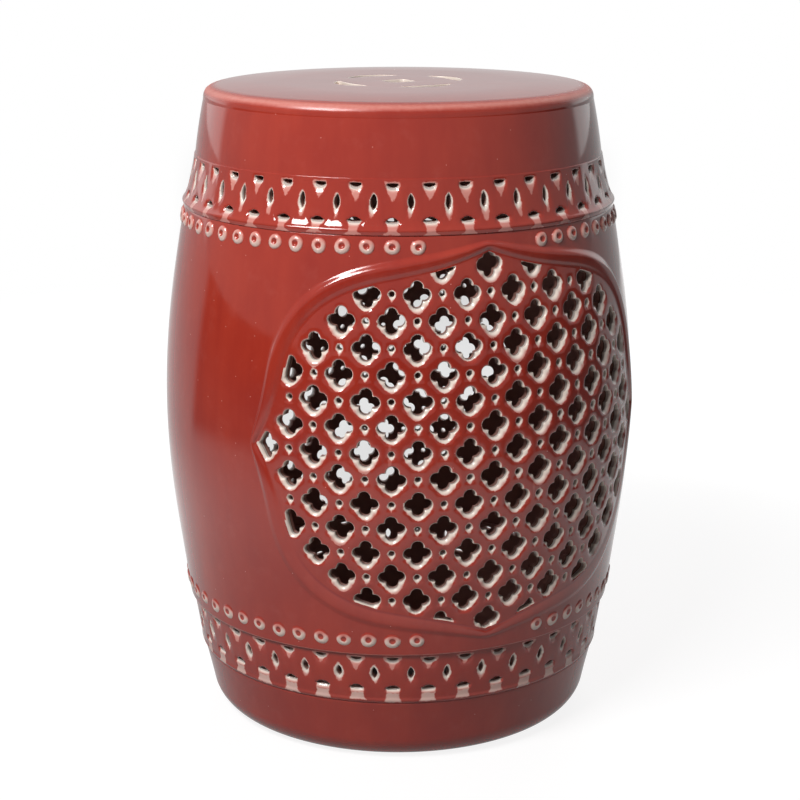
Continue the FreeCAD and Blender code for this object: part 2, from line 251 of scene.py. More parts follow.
def fired(name: str, skin: Skin, coat: Coat, finishes: dict[Coat, bpy.types.Material],
          *nodes: str) -> bpy.types.Object:
    """Mesh object of a skin, glazed, riding on the stool and standing for its CAD nodes.

    Args:
        name: Name of the piece.
        skin: Its points, faces and marks, in millimetres.
        coat: Its finish.
        finishes: Material of each finish.
        nodes: CAD nodes that it stands for.

    Returns:
        The finished object.
    """
    quads = np.concatenate(skin.quads)
    triangles = np.concatenate(skin.triangles) if skin.triangles else np.zeros((0, 3), int)
    mesh = bpy.data.meshes.new(name)
    mesh.vertices.add(skin.count)
    mesh.vertices.foreach_set("co", (np.concatenate(skin.points) * MM).astype(np.float32).ravel())
    mesh.loops.add(quads.size + triangles.size)
    corners = np.concatenate([quads.ravel(), triangles.ravel()]).astype(np.int32)
    mesh.loops.foreach_set("vertex_index", corners)
    sizes = np.repeat([4, 3], [len(quads), len(triangles)])
    mesh.polygons.add(len(sizes))
    mesh.polygons.foreach_set("loop_start", (np.cumsum(sizes) - sizes).astype(np.int32))
    mesh.update(calc_edges=True)
    for mark, values in skin.marks.items():
        layer = mesh.attributes.new(mark, "FLOAT", "POINT")
        layer.data.foreach_set("value", np.concatenate(values).astype(np.float32))
    work = bmesh.new()
    work.from_mesh(mesh)
    bmesh.ops.remove_doubles(work, verts=work.verts, dist=MERGE_MM * MM)
    bmesh.ops.recalc_face_normals(work, faces=work.faces)
    loose = [edge for edge in work.edges if not edge.link_faces]
    bmesh.ops.delete(work, geom=loose, context="EDGES")
    open_edges = sum(1 for edge in work.edges if len(edge.link_faces) != 2)
    work.to_mesh(mesh)
    work.free()
    mesh.polygons.foreach_set("use_smooth", np.ones(len(mesh.polygons), bool))
    mesh.set_sharp_from_angle(angle=SHARP_ANGLE)
    mesh.materials.append(finishes[coat])
    piece = bpy.data.objects.new(name, mesh)
    bpy.context.scene.collection.objects.link(piece)
    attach(piece, "root")
    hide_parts(*nodes)
    log.info("%s: %d faces, %d open edges", name, len(mesh.polygons), open_edges)
    return piece


@dataclass(frozen=True)
class Drum:
    """Outer form of the drum, in millimetres: its heights are those of the CAD nodes."""

    wall: float = 8.0
    belly: float = 169.3
    body_shares: tuple[float, ...] = (0.0, 0.12, 0.26, 0.474, 0.676, 0.816, 1.0)
    body_radii: tuple[float, ...] = (155.54, 160.14, 165.44, 169.24, 166.74, 161.74, 152.64)
    upper_band_radii: tuple[float, float, float] = (153.5, 148.2, 144.6)
    lower_band_radii: tuple[float, float, float] = (147.4, 150.6, 153.4)
    shoulder_radii: tuple[float, float, float] = (144.0, 141.2, 137.6)
    columns: int = 288
    z_lower_band: float = field(default_factory=lambda: heights_of("lower_pierced_band")[0])
    z_body: float = field(default_factory=lambda: heights_of("side_wall_right")[0])
    z_upper_band: float = field(default_factory=lambda: heights_of("side_wall_right")[1])
    z_shoulder: float = field(default_factory=lambda: heights_of("shoulder_wall")[0])
    z_seat: float = field(default_factory=lambda: heights_of("shoulder_wall")[1])
    z_top: float = field(default_factory=lambda: heights_of("seat_disc")[1])

    def body(self) -> Radius:
        """Radius of the barrel as a function of height."""
        low, high = self.z_body, self.z_upper_band
        return smooth_curve([low + share * (high - low) for share in self.body_shares], self.body_radii)


@dataclass(frozen=True)
class Clay:
    """How the clay rounds off round an opening, in millimetres."""

    wall: float = 8.0
    edge: float = 1.0
    inner_edge: float = 0.6
    slump: float = 0.3
    slump_reach: float = 2.0
    scoop: float = 0.0
    scoop_reach: float = 2.4
    scoop_height: float = 3.0
    scoop_start: float = -0.4
    outer_steps: tuple[float, ...] = (0.0, 0.13, 0.4, 0.8, 1.5, 2.6)
    outer_caps: tuple[float, ...] = (0.0, 0.12, 0.32, 0.6, 0.78, 0.88)
    inner_steps: tuple[float, ...] = (0.6, 0.2, 0.0)
    inner_caps: tuple[float, ...] = (0.6, 0.3, 0.0)
    stretch: float = 1.6
    least_slope: float = 0.45
    bright_top: float = 1.0
    probes: int = 33
    halvings: int = 14

    def reach(self, centre: Array, border: Array, level: Level, value: float, start: Array) -> Array:
        """Share of the way out to each border point where the level first has a value past a start."""
        shares = np.linspace(0, 1, self.probes)
        ray = border - centre
        above = level(centre + shares[:, None, None] * ray) >= value
        above &= shares[:, None] >= start
        above[-1] = True
        first = np.maximum(above.argmax(0), 1)
        low, high = shares[first - 1], shares[first]
        for _ in range(self.halvings):
            middle = (low + high) / 2
            inside = level(centre + middle[:, None] * ray) < value
            low, high = np.where(inside, middle, low), np.where(inside, high, middle)
        return np.maximum((low + high) / 2, start)

    def rows(self, centre: Array, border: Array, level: Level, edge: Array,
             steps: Sequence[float], caps: Sequence[float]) -> Array:
        """Rings round an opening at set distances from its edge, held back from the border."""
        length = np.hypot(*(border - centre).T)
        rings = []
        for step, cap in zip(steps, caps):
            share = edge if step == 0 else self.reach(centre, border, level, step, edge)
            share = np.minimum(share, edge + self.stretch * step / length)
            share = np.minimum(share, edge + (1 - edge) * cap)
            rings.append(centre + share[:, None] * (border - centre))
        return np.stack(rings)

    def cell(self, centre: Array, border: Array, level: Level) -> Cell:
        """Rings of one pierced cell, from its outer border through the opening to its inner border.

        Args:
            centre: Point in the opening, (across, up).
            border: Border points of the cell in order.
            level: Signed distance from the opening's edge, more than 0 in the clay.

        Returns:
            Places (rows, n, 2), depths (rows, n) and halos of the opening's edge (rows, n).
        """
        edge = self.reach(centre, border, level, 0.0, np.zeros(len(border)))
        outer = self.rows(centre, border, level, edge, self.outer_steps, self.outer_caps)[::-1]
        inner = self.rows(centre, border, level, edge, self.inner_steps, self.inner_caps)[::-1]
        middle = (outer[:1] + border) / 2
        places = np.concatenate([border[None], middle, outer, inner[:1], inner, border[None]])
        out = np.hypot(*np.moveaxis(places - outer[-1:], -1, 0))
        rest = np.hypot(*np.moveaxis(border - places, -1, 0))
        fade = (1 - (out / (out + rest)) ** 2) ** 2
        distance = np.maximum(level(places), self.least_slope * out)
        front = len(outer) + 2
        below = smooth_step(centre[1] - places[..., 1], self.scoop_start, self.scoop_height)
        scoop = self.scoop * below * np.exp(-((distance / self.scoop_reach) ** 2))
        slump = (self.slump * np.exp(-distance / self.slump_reach) + scoop) * fade
        depth = np.zeros(distance.shape)
        depth[1:front] = (self.edge * quarter_round(distance, self.edge) + slump)[1:front]
        depth[front] = (self.wall + self.edge) / 2
        inner_fall = self.inner_edge * quarter_round(distance, self.inner_edge)
        depth[front + 1 :] = self.wall - inner_fall[front + 1 :]
        depth[-1] = self.wall
        distance[front : front + 2] = 0
        halo = np.clip(1 - distance / HALO_REACH, 0, 1)
        return places, depth, halo * (self.bright_top + (1 - self.bright_top) * below)


def lens(places: Array, half_length: float, above: float, below: float) -> Array:
    """Distance from a lens on a level chord, bounded by an arc above it and one below it.

    Each arc is the circle through both ends of the chord that bulges by the given amount.
    """
    upper = (half_length**2 + above**2) / (2 * above)
    lower = (half_length**2 + below**2) / (2 * below)
    top = np.hypot(places[..., 0], places[..., 1] - above + upper) - upper
    bottom = np.hypot(places[..., 0], places[..., 1] + below - lower) - lower
    return np.maximum(top, bottom)


@dataclass(frozen=True)
class Foil:
    """Quatrefoil: four lobes about a heart."""

    home: Array
    turn: float
    side_offsets: Array
    end_offsets: Array
    lobe_radius: float
    heart_radius: float = 3.0

    def level(self, places: Array) -> Array:
        """Distance from the edge: nearest lobe centre less the lobe's radius."""
        x, y = places[..., 0] - self.home[0], places[..., 1] - self.home[1]
        cosine, sine = math.cos(self.turn), math.sin(self.turn)
        across, up = x * cosine + y * sine, y * cosine - x * sine
        side = np.where(across > 0, self.side_offsets[0], self.side_offsets[1])
        end = np.where(up > 0, self.end_offsets[0], self.end_offsets[1])
        sides = np.hypot(np.abs(across) - side, up) - self.lobe_radius
        ends = np.hypot(across, np.abs(up) - end) - self.lobe_radius
        return np.minimum(np.minimum(sides, ends), np.hypot(across, up) - self.heart_radius)


@dataclass(frozen=True)
class Cutter:
    """Quatrefoil cutter, and how unevenly a hand sets it."""

    side_offset: float = 5.15
    end_offset: float = 4.85
    offset_spread: float = 0.2
    lobe_radius: float = 4.2
    lobe_spread: float = 0.08
    home_spread: float = 0.22
    turn_spread: float = 0.045

    def cut(self, home: Array, chance: np.random.Generator) -> Foil:
        """Quatrefoil near a place."""
        return Foil(
            home + chance.normal(0, self.home_spread, 2),
            chance.normal(0, self.turn_spread),
            self.side_offset + chance.normal(0, self.offset_spread, 2),
            self.end_offset + chance.normal(0, self.offset_spread, 2),
            self.lobe_radius + chance.normal(0, self.lobe_spread),
        )


@dataclass(frozen=True)
class Run:
    """Pale glaze run under an opening: half widths at heights from the opening's centre."""

    heights: tuple[float, ...]
    half_widths: tuple[float, ...]

    def inside(self, across: Array, up: Array) -> Array:
        """Distance in from the run's border, less than 0 outside it."""
        width = np.interp(up, self.heights[::-1], self.half_widths[::-1])
        ends = np.minimum(up - self.heights[-1], self.heights[0] - up)
        return np.minimum(width - np.abs(across), ends)


def mark_runs(places: Array, openings: Sequence[tuple[Array, Run]], seed: int) -> Array:
    """Run mark of each place: RUN_ZERO plus the inside distance of the nearest run, at least 0.

    Each run leans, stretches and widens a little in its own way. No mark passes twice RUN_ZERO.
    """
    chance = np.random.default_rng(seed)
    best = np.full(len(places), -RUN_ZERO)
    for centre, run in openings:
        lean, stretch, swell = chance.normal(0, RUN_SPREADS)
        reach = max(run.half_widths) + RUN_ZERO + RUN_MARGIN
        low, high = run.heights[-1] * RUN_LONGEST - RUN_ZERO, run.heights[0] + RUN_ZERO
        across, up = places[:, 0] - centre[0], places[:, 1] - centre[1]
        near = (np.abs(across) < reach) & (up > low) & (up < high)
        up = up[near]
        below = np.minimum(up, 0)
        shifted = across[near] - lean * below
        value = run.inside(shifted, np.where(up < 0, up / (1 + stretch), up)) + swell
        best[near] = np.maximum(best[near], value)
    return np.clip(best + RUN_ZERO, 0, 2 * RUN_ZERO)


@dataclass(frozen=True)
class Outline:
    """Medallion outline: a superellipse with a pointed swelling on the end of each half axis."""

    half_width: float = 150.0
    half_height: float = 117.0
    side_point: float = 17.0
    end_point: float = 14.0
    side_reach: float = 50.0
    end_reach: float = 75.0
    squareness: float = 3.2
    blunting: float = 0.3 / 11.0
    rounding: float = 0.5
    samples: int = 90
    evenness: float = 1.6

    def quarter(self, grow: float) -> Array:
        """Points (across, up) of a quarter outline, from the side point to the top point.

        The points are blunter and rounder the further out the outline is drawn.
        """
        share = np.linspace(0, 1, self.samples)
        rise, fall = share**self.evenness, (1 - share) ** self.evenness
        turn = np.pi / 2 * rise / (rise + fall)
        cosine, sine = np.cos(turn), np.sin(turn)
        cosine[-1] = 0
        power = 2 / self.squareness
        across = (self.half_width + grow) * cosine**power
        up = (self.half_height + grow) * sine**power
        left = 1 - self.blunting * max(0.0, grow)
        rounding = self.rounding * max(0.0, grow)
        side = np.maximum(0, 1 - np.hypot(up, rounding) / self.side_reach) ** 2
        end = np.maximum(0, 1 - np.hypot(across, rounding) / self.end_reach) ** 2
        return np.stack([across + left * self.side_point * side, up + left * self.end_point * end], 1)

    def loop(self, grow: float) -> Array:
        """Points of the whole outline, anticlockwise from the right side point."""
        first = self.quarter(grow)[:-1]
        second = self.quarter(grow)[:0:-1] * (-1, 1)
        half = np.concatenate([first, second])
        return np.concatenate([half, -half])

    def level(self, places: Array, grow: float) -> Array:
        """Distance of each place past the outline, along its ray from the centre."""
        quarter = self.quarter(grow)
        angles = np.arctan2(quarter[:, 1], quarter[:, 0])
        here = np.arctan2(np.abs(places[..., 1]), np.abs(places[..., 0]))
        return np.hypot(places[..., 0], places[..., 1]) - np.interp(here, angles, np.hypot(*quarter.T))

    def across_at(self, up: Array) -> Array:
        """Distance across from the centre line to the outline at each height, 0 past its ends."""
        quarter = self.quarter(0.0)
        return np.where(np.abs(up) < quarter[-1, 1], np.interp(np.abs(up), quarter[:, 1], quarter[:, 0]), 0)


@dataclass
class Medallion:
    """Quatrefoil lattice panel with its raised moulding.

    The run of a small hole is a ring and a short teardrop.
    """

    drum: Drum
    outline: Outline = field(default_factory=Outline)
    clay: Clay = field(default_factory=lambda: Clay(scoop=1.6, scoop_height=7.0))
    cutter: Cutter = field(default_factory=Cutter)
    panel_seeds: tuple[int, int] = (5, 6)
    run_seed: int = 7
    rise: float = 145.8
    rear_drop: float = 4.6
    column_pitch: float = 17.55
    row_pitch: float = 17.4
    corner_share: float = 0.7
    edge_parts: int = 6
    border: float = 2.8
    border_gain: float = 1.4
    gain_heights: Pair = (40.0, 90.0)
    hole_radius: float = 1.95
    hole_margin: float = 2.5
    clip_round: float = 0.9
    foil_reach: float = 9.8
    whole_margin: float = 15.68
    least_share: float = 0.12
    probe_count: int = 41
    view_count: int = 60
    view_angles: int = 32
    view_steps: int = 40
    view_start: float = 0.3
    corner_area: float = 0.02
    plain_shares: tuple[float, ...] = (1.0, 0.6, 0.25, 0.0)
    hole_run: Run = Run((3.0, 2.2, 1.0, 0.0, -1.6, -3.4, -5.0), (0.6, 2.0, 2.8, 2.95, 2.5, 1.3, 0.3))
    run_width: float = 9.9
    run_length: float = 12.0
    run_power: float = 1.55
    run_top: float = 1.6
    run_inset: float = 0.3
    run_points: int = 14
    run_evenness: float = 0.7
    rim_outer: float = 12.4
    rim_crest: float = 7.5
    rim_inner: float = -1.0
    rim_height: float = 2.1
    rim_lip: float = 0.3
    rim_lip_width: float = 4.4
    rim_low_share: float = 0.45
    rim_columns: int = 34
    rim_sink: float = 2.0
    rim_step: float = 0.04
    rim_flat_heights: Pair = (-70.0, 40.0)
    rim_pool_heights: Pair = (50.0, 95.0)
    rim_pool_reach: float = 1.3
    rim_pool: float = 0.45
    rim_pale: float = 0.05
    rim_matt: float = 0.2

    def middle(self, face: Face) -> float:
        """Height of the medallion's middle; the rear one sits a little lower."""
        drop = self.rear_drop if face is Face.REAR else 0.0
        return self.drum.z_body + self.rise - drop

    def foil_run(self) -> Run:
        """Rounded V of pale glaze round a quatrefoil's lower half: a superellipse."""
        share = np.linspace(0, 1, self.run_points) ** self.run_evenness
        width = self.run_width * (1 - share**self.run_power) ** (1 / self.run_power)
        heights = (self.run_top, *(-self.run_length * share))
        return Run(heights, (self.run_width - self.run_inset, *width))

    def cell_border(self, column: int, row: int) -> Array:
        """Border of a lattice cell: an octagon round a quatrefoil, a square round a small hole."""
        far, near = self.corner_share, 1 - self.corner_share
        if (column + row) % 2:
            corners = [(far, -near), (far, near), (near, far), (-near, far)]
            corners = np.array(corners + [(-x, -y) for x, y in corners])
        else:
            corners = near * np.array([(1, -1), (1, 1), (-1, 1), (-1, -1)])
        share = np.arange(self.edge_parts)[None, :, None] / self.edge_parts
        ends = np.roll(corners, -1, 0)
        points = corners[:, None] * (1 - share) + ends[:, None] * share
        return (points.reshape(-1, 2) + (column, row)) * (self.column_pitch, self.row_pitch)

    def clipped(self, border: Array) -> tuple[Array, Array] | None:
        """Part of a cell's border inside the outline, closed along the outline.

        Returns:
            The points in order and which of them lie on the outline, or None outside it.
        """
        level = self.outline.level(border, 0.0)
        inside = level < 0
        if inside.all():
            return border, np.zeros(len(border), bool)
        if not inside.any():
            return None
        after, after_level = np.roll(border, -1, 0), np.roll(level, -1)
        crossing = inside != np.roll(inside, -1)
        share = (level / (level - after_level))[crossing, None]
        cuts = border[crossing] * (1 - share) + after[crossing] * share
        loop = self.outline.loop(0.0)
        edge = after - border
        gap = loop[:, None] - border[None]
        held = (edge[None, :, 0] * gap[..., 1] - edge[None, :, 1] * gap[..., 0] > self.corner_area).all(1)
        points = np.concatenate([border[inside], cuts, loop[held]])
        on_line = np.arange(len(points)) >= inside.sum()
        offset = points - points.mean(0)
        order = np.argsort(np.arctan2(offset[:, 1], offset[:, 0]))
        return points[order], on_line[order]

    def opening(self, column: int, row: int,
                chance: np.random.Generator) -> tuple[Array, Level, Run] | None:
        """Centre, level and run of a cell's opening, or None where too little of it is left."""
        home = np.array([column * self.column_pitch, row * self.row_pitch])
        margin = -float(self.outline.level(home, -self.border))
        foil = self.cutter.cut(home, chance)
        if margin > self.whole_margin and (column + row) % 2:
            return foil.home, foil.level, self.foil_run()

        def hole_level(places: Array) -> Array:
            """Small round hole."""
            return np.hypot(*np.moveaxis(places - home, -1, 0)) - self.hole_radius

        if (column + row) % 2 == 0:
            return (home, hole_level, self.hole_run) if margin > self.hole_margin else None

        def level(places: Array) -> Array:
            """Quatrefoil cut off along the border, which is nearer the outline high up and low down."""
            gain = self.border_gain * smooth_step(np.abs(places[..., 1]), *self.gain_heights)
            border = self.outline.level(places, -self.border) - gain
            return soft_max(foil.level(places), border, self.clip_round)

        probe = np.linspace(-self.foil_reach, self.foil_reach, self.probe_count)
        places = home + np.stack(np.meshgrid(probe, probe), -1).reshape(-1, 2)
        full = foil.level(places) < 0
        left = level(places) < 0
        if left.sum() < self.least_share * full.sum():
            return None
        return self.best_view(places[left], level), level, self.foil_run()

    def best_view(self, places: Array, level: Level) -> Array:
        """Place in an opening that looks out over the largest part of it."""
        places = places[:: max(1, len(places) // self.view_count)]
        angle = np.linspace(0, 2 * np.pi, self.view_angles, endpoint=False)
        reach = np.linspace(self.view_start, 2 * self.foil_reach, self.view_steps)
        ray = np.stack([np.cos(angle), np.sin(angle)], 1)
        seen = level(places[:, None, None] + reach[None, None, :, None] * ray[None, :, None]) < 0
        first = np.where(seen.all(2), len(reach) - 1, (~seen).argmax(2))
        return places[(reach[first] ** 2).sum(1).argmax()]

    def panel(self, face: Face) -> Skin:
        """Lattice panel: every cell's rings, laid on the barrel."""
        skin, radius = Skin(), self.drum.body()
        middle = self.middle(face)
        chance = np.random.default_rng(self.panel_seeds[face is Face.REAR])
        columns = int((self.outline.half_width + self.outline.side_point) / self.column_pitch) + 1
        rows = int((self.outline.half_height + self.outline.end_point) / self.row_pitch) + 1
        laid: list[tuple[Array, Array, Array, Array]] = []
        runs: list[tuple[Array, Run]] = []
        for column in range(-columns, columns + 1):
            for row in range(-rows, rows + 1):
                kept = self.clipped(self.cell_border(column, row))
                if kept is None:
                    continue
                border, on_line = kept
                opening = self.opening(column, row, chance)
                if opening is None:
                    laid.append((*self.plain_cell(border), on_line))
                    continue
                centre, level, run = opening
                laid.append((*self.clay.cell(centre, border, level), on_line))
                runs.append((np.array([column * self.column_pitch, row * self.row_pitch]), run))
        places = np.concatenate([cell[0].reshape(-1, 2) for cell in laid])
        marked = mark_runs(places, runs, self.run_seed)
        start = 0
        for places, depth, halo, on_line in laid:
            run_mark = marked[start : start + depth.size].reshape(depth.shape)
            start += depth.size
            height = middle + places[..., 1]
            grid = round_drum(places[..., 0], height, radius(height) - depth, self.drum.belly, face.value)
            skin.add_grid(grid, True, halo=halo, run=run_mark, depth=depth)
            wall = on_line & np.roll(on_line, -1)
            if wall.any():
                self.close_border(skin, grid, wall)
        return skin

    def plain_cell(self, border: Array) -> Cell:
        """Rings of a cell without an opening, drawn in to its centre on both faces."""
        centre = border.mean(0)
        shares = np.array(self.plain_shares)[:, None, None]
        front = centre + shares * (border - centre)
        places = np.concatenate([front, front[::-1]])
        depth = np.repeat([0.0, self.clay.wall], len(front))[:, None] * np.ones(len(border))
        return places, depth, 0 * depth

    def close_border(self, skin: Skin, grid: Array, wall: Array) -> None:
        """Close a cell between its outer and inner border along the outline."""
        count = grid.shape[1]
        depth = np.repeat([0.0, self.clay.wall], count)
        first = skin.add_points(np.concatenate([grid[0], grid[-1]]), depth=depth)
        here = np.flatnonzero(wall)
        after = (here + 1) % count
        skin.quads.append(first + np.stack([here, after, after + count, here + count], 1))

    def rim_rise(self, grow: Array) -> Array:
        """Height of the moulding: a short inner flank, a slow rise to the crest and an outer flank.

        The inner flank and the rise are cubic steps, and the outer flank is half a cosine wave.
        """
        lip = self.rim_lip * smooth_step(grow, self.rim_inner, self.rim_inner + self.rim_lip_width)
        slope = (1 - self.rim_lip) * smooth_step(grow, self.rim_inner, self.rim_crest)
        fall = np.clip((grow - self.rim_crest) / (self.rim_outer - self.rim_crest), 0, 1)
        return self.rim_height * (lip + slope) * (1 + np.cos(np.pi * fall)) / 2 + self.rim_step

    def moulding(self, face: Face) -> Skin:
        """Raised moulding that follows the outline, flatter towards the bottom."""
        radius = self.drum.body()
        grow = self.rim_inner + (self.rim_outer - self.rim_inner) * np.linspace(0, 1, self.rim_columns)
        steps = np.array([grow[0], *grow, grow[-1]])
        loops = np.stack([self.outline.loop(step) for step in steps])
        share = smooth_step(loops[..., 1], *self.rim_flat_heights)
        share = self.rim_low_share + (1 - self.rim_low_share) * share
        height = share * np.concatenate([[0], self.rim_rise(grow), [0]])[:, None]
        height[0], height[-1] = -self.rim_sink, -self.rim_sink
        up = self.middle(face) + loops[..., 1]
        shell = round_drum(loops[..., 0], up, radius(up) + height, self.drum.belly, face.value)
        low_down = smooth_step(-loops[..., 1], *self.rim_pool_heights)
        inner_edge = np.exp(-((steps / self.rim_pool_reach) ** 2))[:, None]
        crest = self.rim_pale * smooth_step(height / self.rim_height, 0.5, 1.0)
        crest = crest - self.rim_pool * inner_edge * low_down
        shell, crest = (np.concatenate([rows, rows[:1]]) for rows in (shell, crest))
        skin = Skin()
        skin.add_grid(shell, True, crest=crest, matt=self.rim_matt)
        return skin


@dataclass
class PiercedBand:
    """Band with three staggered rows of openings."""

    drum: Drum
    node: str
    radii: tuple[float, float, float]
    rows_rise: float
    lip: float
    lip_height: float
    tail_top: Run
    tail_lens: Run
    tail_bottom: Run
    seed: int
    clay: Clay = field(default_factory=lambda: Clay(scoop=1.7, scoop_height=1.6, edge=0.8, bright_top=0.4))
    lens_clay: Clay = field(default_factory=lambda: Clay(scoop=0.8, scoop_height=4.0, edge=0.7))
    columns: int = 38
    top_rise: float = 12.3
    bottom_rise: float = -11.4
    eye_half_length: float = 4.5
    eye_tall: float = 2.4
    eye_flat: float = 0.45
    lens_rise: float = 0.8
    lens_half_length: float = 5.0
    lens_bulge: float = 1.95
    row_reach: float = 13.4
    ledge: float = 1.3
    unevenness: float = 0.16
    size_spread: float = 0.05
    tilt_spread: float = 0.03
    roll_share: float = 0.62
    tuck: Pair = (0.5, 1.5)
    top_round: Pair = (0.2, 0.7)
    parts_up: int = 9
    parts_across: int = 8
    strip_rows: int = 14
    strip_evenness: float = 0.8
    # Painted shade: stretches the depth mark so the band openings turn dark sooner inside.
    band_wall_shade_gain: float = 1.7
    skirt_halo: float = 0.0

    def radius(self) -> Radius:
        """Outer radius by height.

        It is a parabola through three radii, with a Gaussian lip low down, and its lower and
        upper edge are quarter rounds, each given by how far in it goes and how tall it is.
        """
        low, high = heights_of(self.node)
        fit = np.polyfit([low, (low + high) / 2, high], self.radii, 2)

        def curve(height: Array) -> Array:
            """Radius at each height."""
            height = np.asarray(height, float)
            above = height - low
            past = (above - self.lip_height) / (self.roll_share * self.lip_height)
            roll = self.lip * np.exp(-(past**2))
            tuck = self.tuck[0] * quarter_round(above, self.tuck[1])
            top = self.top_round[0] * quarter_round(high - height, self.top_round[1])
            return np.polyval(fit, height) + roll - tuck - top

        return curve

    def rectangle(self, left: float, right: float, low: float, high: float) -> Array:
        """Border of a rectangular cell, anticlockwise, its sides split at the middle of the band."""
        wide = np.linspace(left, right, self.parts_across + 1)[:-1]
        tall = [np.linspace(low, min(high, 0.0), self.parts_up + 1)[:-1]] if low < 0 else []
        if high > 0:
            tall.append(np.linspace(max(low, 0.0), high, self.parts_up + 1)[:-1])
        tall = np.concatenate(tall)
        down = np.append(tall[1:], high)[::-1]
        return np.concatenate(
            [
                np.stack([wide, 0 * wide + low], 1),
                np.stack([0 * tall + right, tall], 1),
                np.stack([wide[::-1] + wide[1] - wide[0], 0 * wide + high], 1),
                np.stack([0 * down + left, down], 1),
            ]
        )

    def openings(self, chance: np.random.Generator) -> tuple[tuple[Array, Level], ...]:
        """Lens, upper eye and lower eye of one column, each a little uneven: centre and level."""
        shift = chance.normal(0, self.unevenness, (3, 2))
        size = 1 + chance.normal(0, self.size_spread, (3, 2))
        tilt = chance.normal(0, self.tilt_spread)
        lens_home = shift[0] + (0, self.lens_rise)
        top = shift[1] + (0, self.top_rise)
        bottom = shift[2] + (0, self.bottom_rise)

        def lens_level(places: Array) -> Array:
            """Upright lens, leaning a little."""
            x, y = places[..., 0] - lens_home[0], places[..., 1] - lens_home[1]
            turned_places = np.stack([y + tilt * x, x - tilt * y], -1)
            bulge = self.lens_bulge * size[0, 0]
            return lens(turned_places, self.lens_half_length * size[0, 1], bulge, bulge)

        def top_level(places: Array) -> Array:
            """Eye with its flat side up."""
            half, tall = (self.eye_half_length, self.eye_tall) * size[1]
            return lens(places - top, half, self.eye_flat, tall)

        def bottom_level(places: Array) -> Array:
            """Eye with its flat side down."""
            half, tall = (self.eye_half_length, self.eye_tall) * size[2]
            return lens(places - bottom, half, tall, self.eye_flat)

        middle = np.array([0, (self.eye_tall - self.eye_flat) / 2])
        return (lens_home, lens_level), (top - middle, top_level), (bottom + middle, bottom_level)

    def build(self) -> Skin:
        """Pierced cells, with the lip below them and the ledge above closed round the wall."""
        low, high = heights_of(self.node)
        middle = low + self.rows_rise
        radius = self.radius()
        reference = self.radii[1]
        step = 2 * np.pi * reference / self.columns
        base, roof, quarter = -self.row_reach - self.ledge, self.row_reach + self.ledge, step / 4
        chance = np.random.default_rng(self.seed)
        borders = (
            self.rectangle(-quarter, quarter, base, roof),
            self.rectangle(-quarter, quarter, 0.0, roof),
            self.rectangle(-quarter, quarter, base, 0.0),
        )
        tails = (self.tail_lens, self.tail_top, self.tail_bottom)
        homes = (0.0, self.row_reach, -self.row_reach)
        sheets, runs = [], []
        for column in range(self.columns):
            for index, (centre, level) in enumerate(self.openings(chance)):
                clay = self.clay if index else self.lens_clay
                places, depth, halo = clay.cell(centre, borders[index], level)
                offset = np.array([(column + (0.5 if index else 0.0)) * step, 0.0])
                sheets.append((places + offset, depth, halo))
                runs.append((offset + (0.0, homes[index]), tails[index]))
        runs.append((np.array([self.columns * step, 0.0]), self.tail_lens))
        parts = self.columns * 2 * self.parts_across
        across = np.linspace(-quarter, self.columns * step - quarter, parts + 1)
        for path in self.strips(low - middle, base, high - middle, roof):
            places = np.stack(np.broadcast_arrays(across[None, :], path[:, :1]), -1)
            depth = path[:, 1:] + 0 * across
            sheets.append((places, depth, self.skirt_halo + 0 * depth))
        marked = mark_runs(np.concatenate([sheet[0].reshape(-1, 2) for sheet in sheets]), runs, self.seed)
        skin, start = Skin(), 0
        for index, (places, depth, halo) in enumerate(sheets):
            run_mark = marked[start : start + depth.size].reshape(depth.shape)
            start += depth.size
            height = middle + places[..., 1]
            grid = round_drum(places[..., 0], height, radius(height) - depth, reference)
            # Painted shade: the depth mark is stretched so the openings' walls darken sooner.
            shade_depth = np.minimum(self.band_wall_shade_gain * depth, self.clay.wall)
            skin.add_grid(grid, index < 3 * self.columns, halo=halo, run=run_mark, depth=shade_depth)
        return skin

    def strips(self, low: float, base: float, high: float, roof: float) -> list[Array]:
        """Paths of (height, depth) from the cells round the band's lower and upper edge."""
        wall = self.clay.wall
        paths = []
        for cell_end, edge in ((base, low), (roof, high)):
            heights = cell_end + (edge - cell_end) * np.linspace(0, 1, self.strip_rows) ** self.strip_evenness
            front = np.stack([heights, 0 * heights], 1)
            back = np.array([[edge, wall / 2], [edge, wall], [cell_end, wall]])
            paths.append(np.concatenate([front, back]))
        return paths


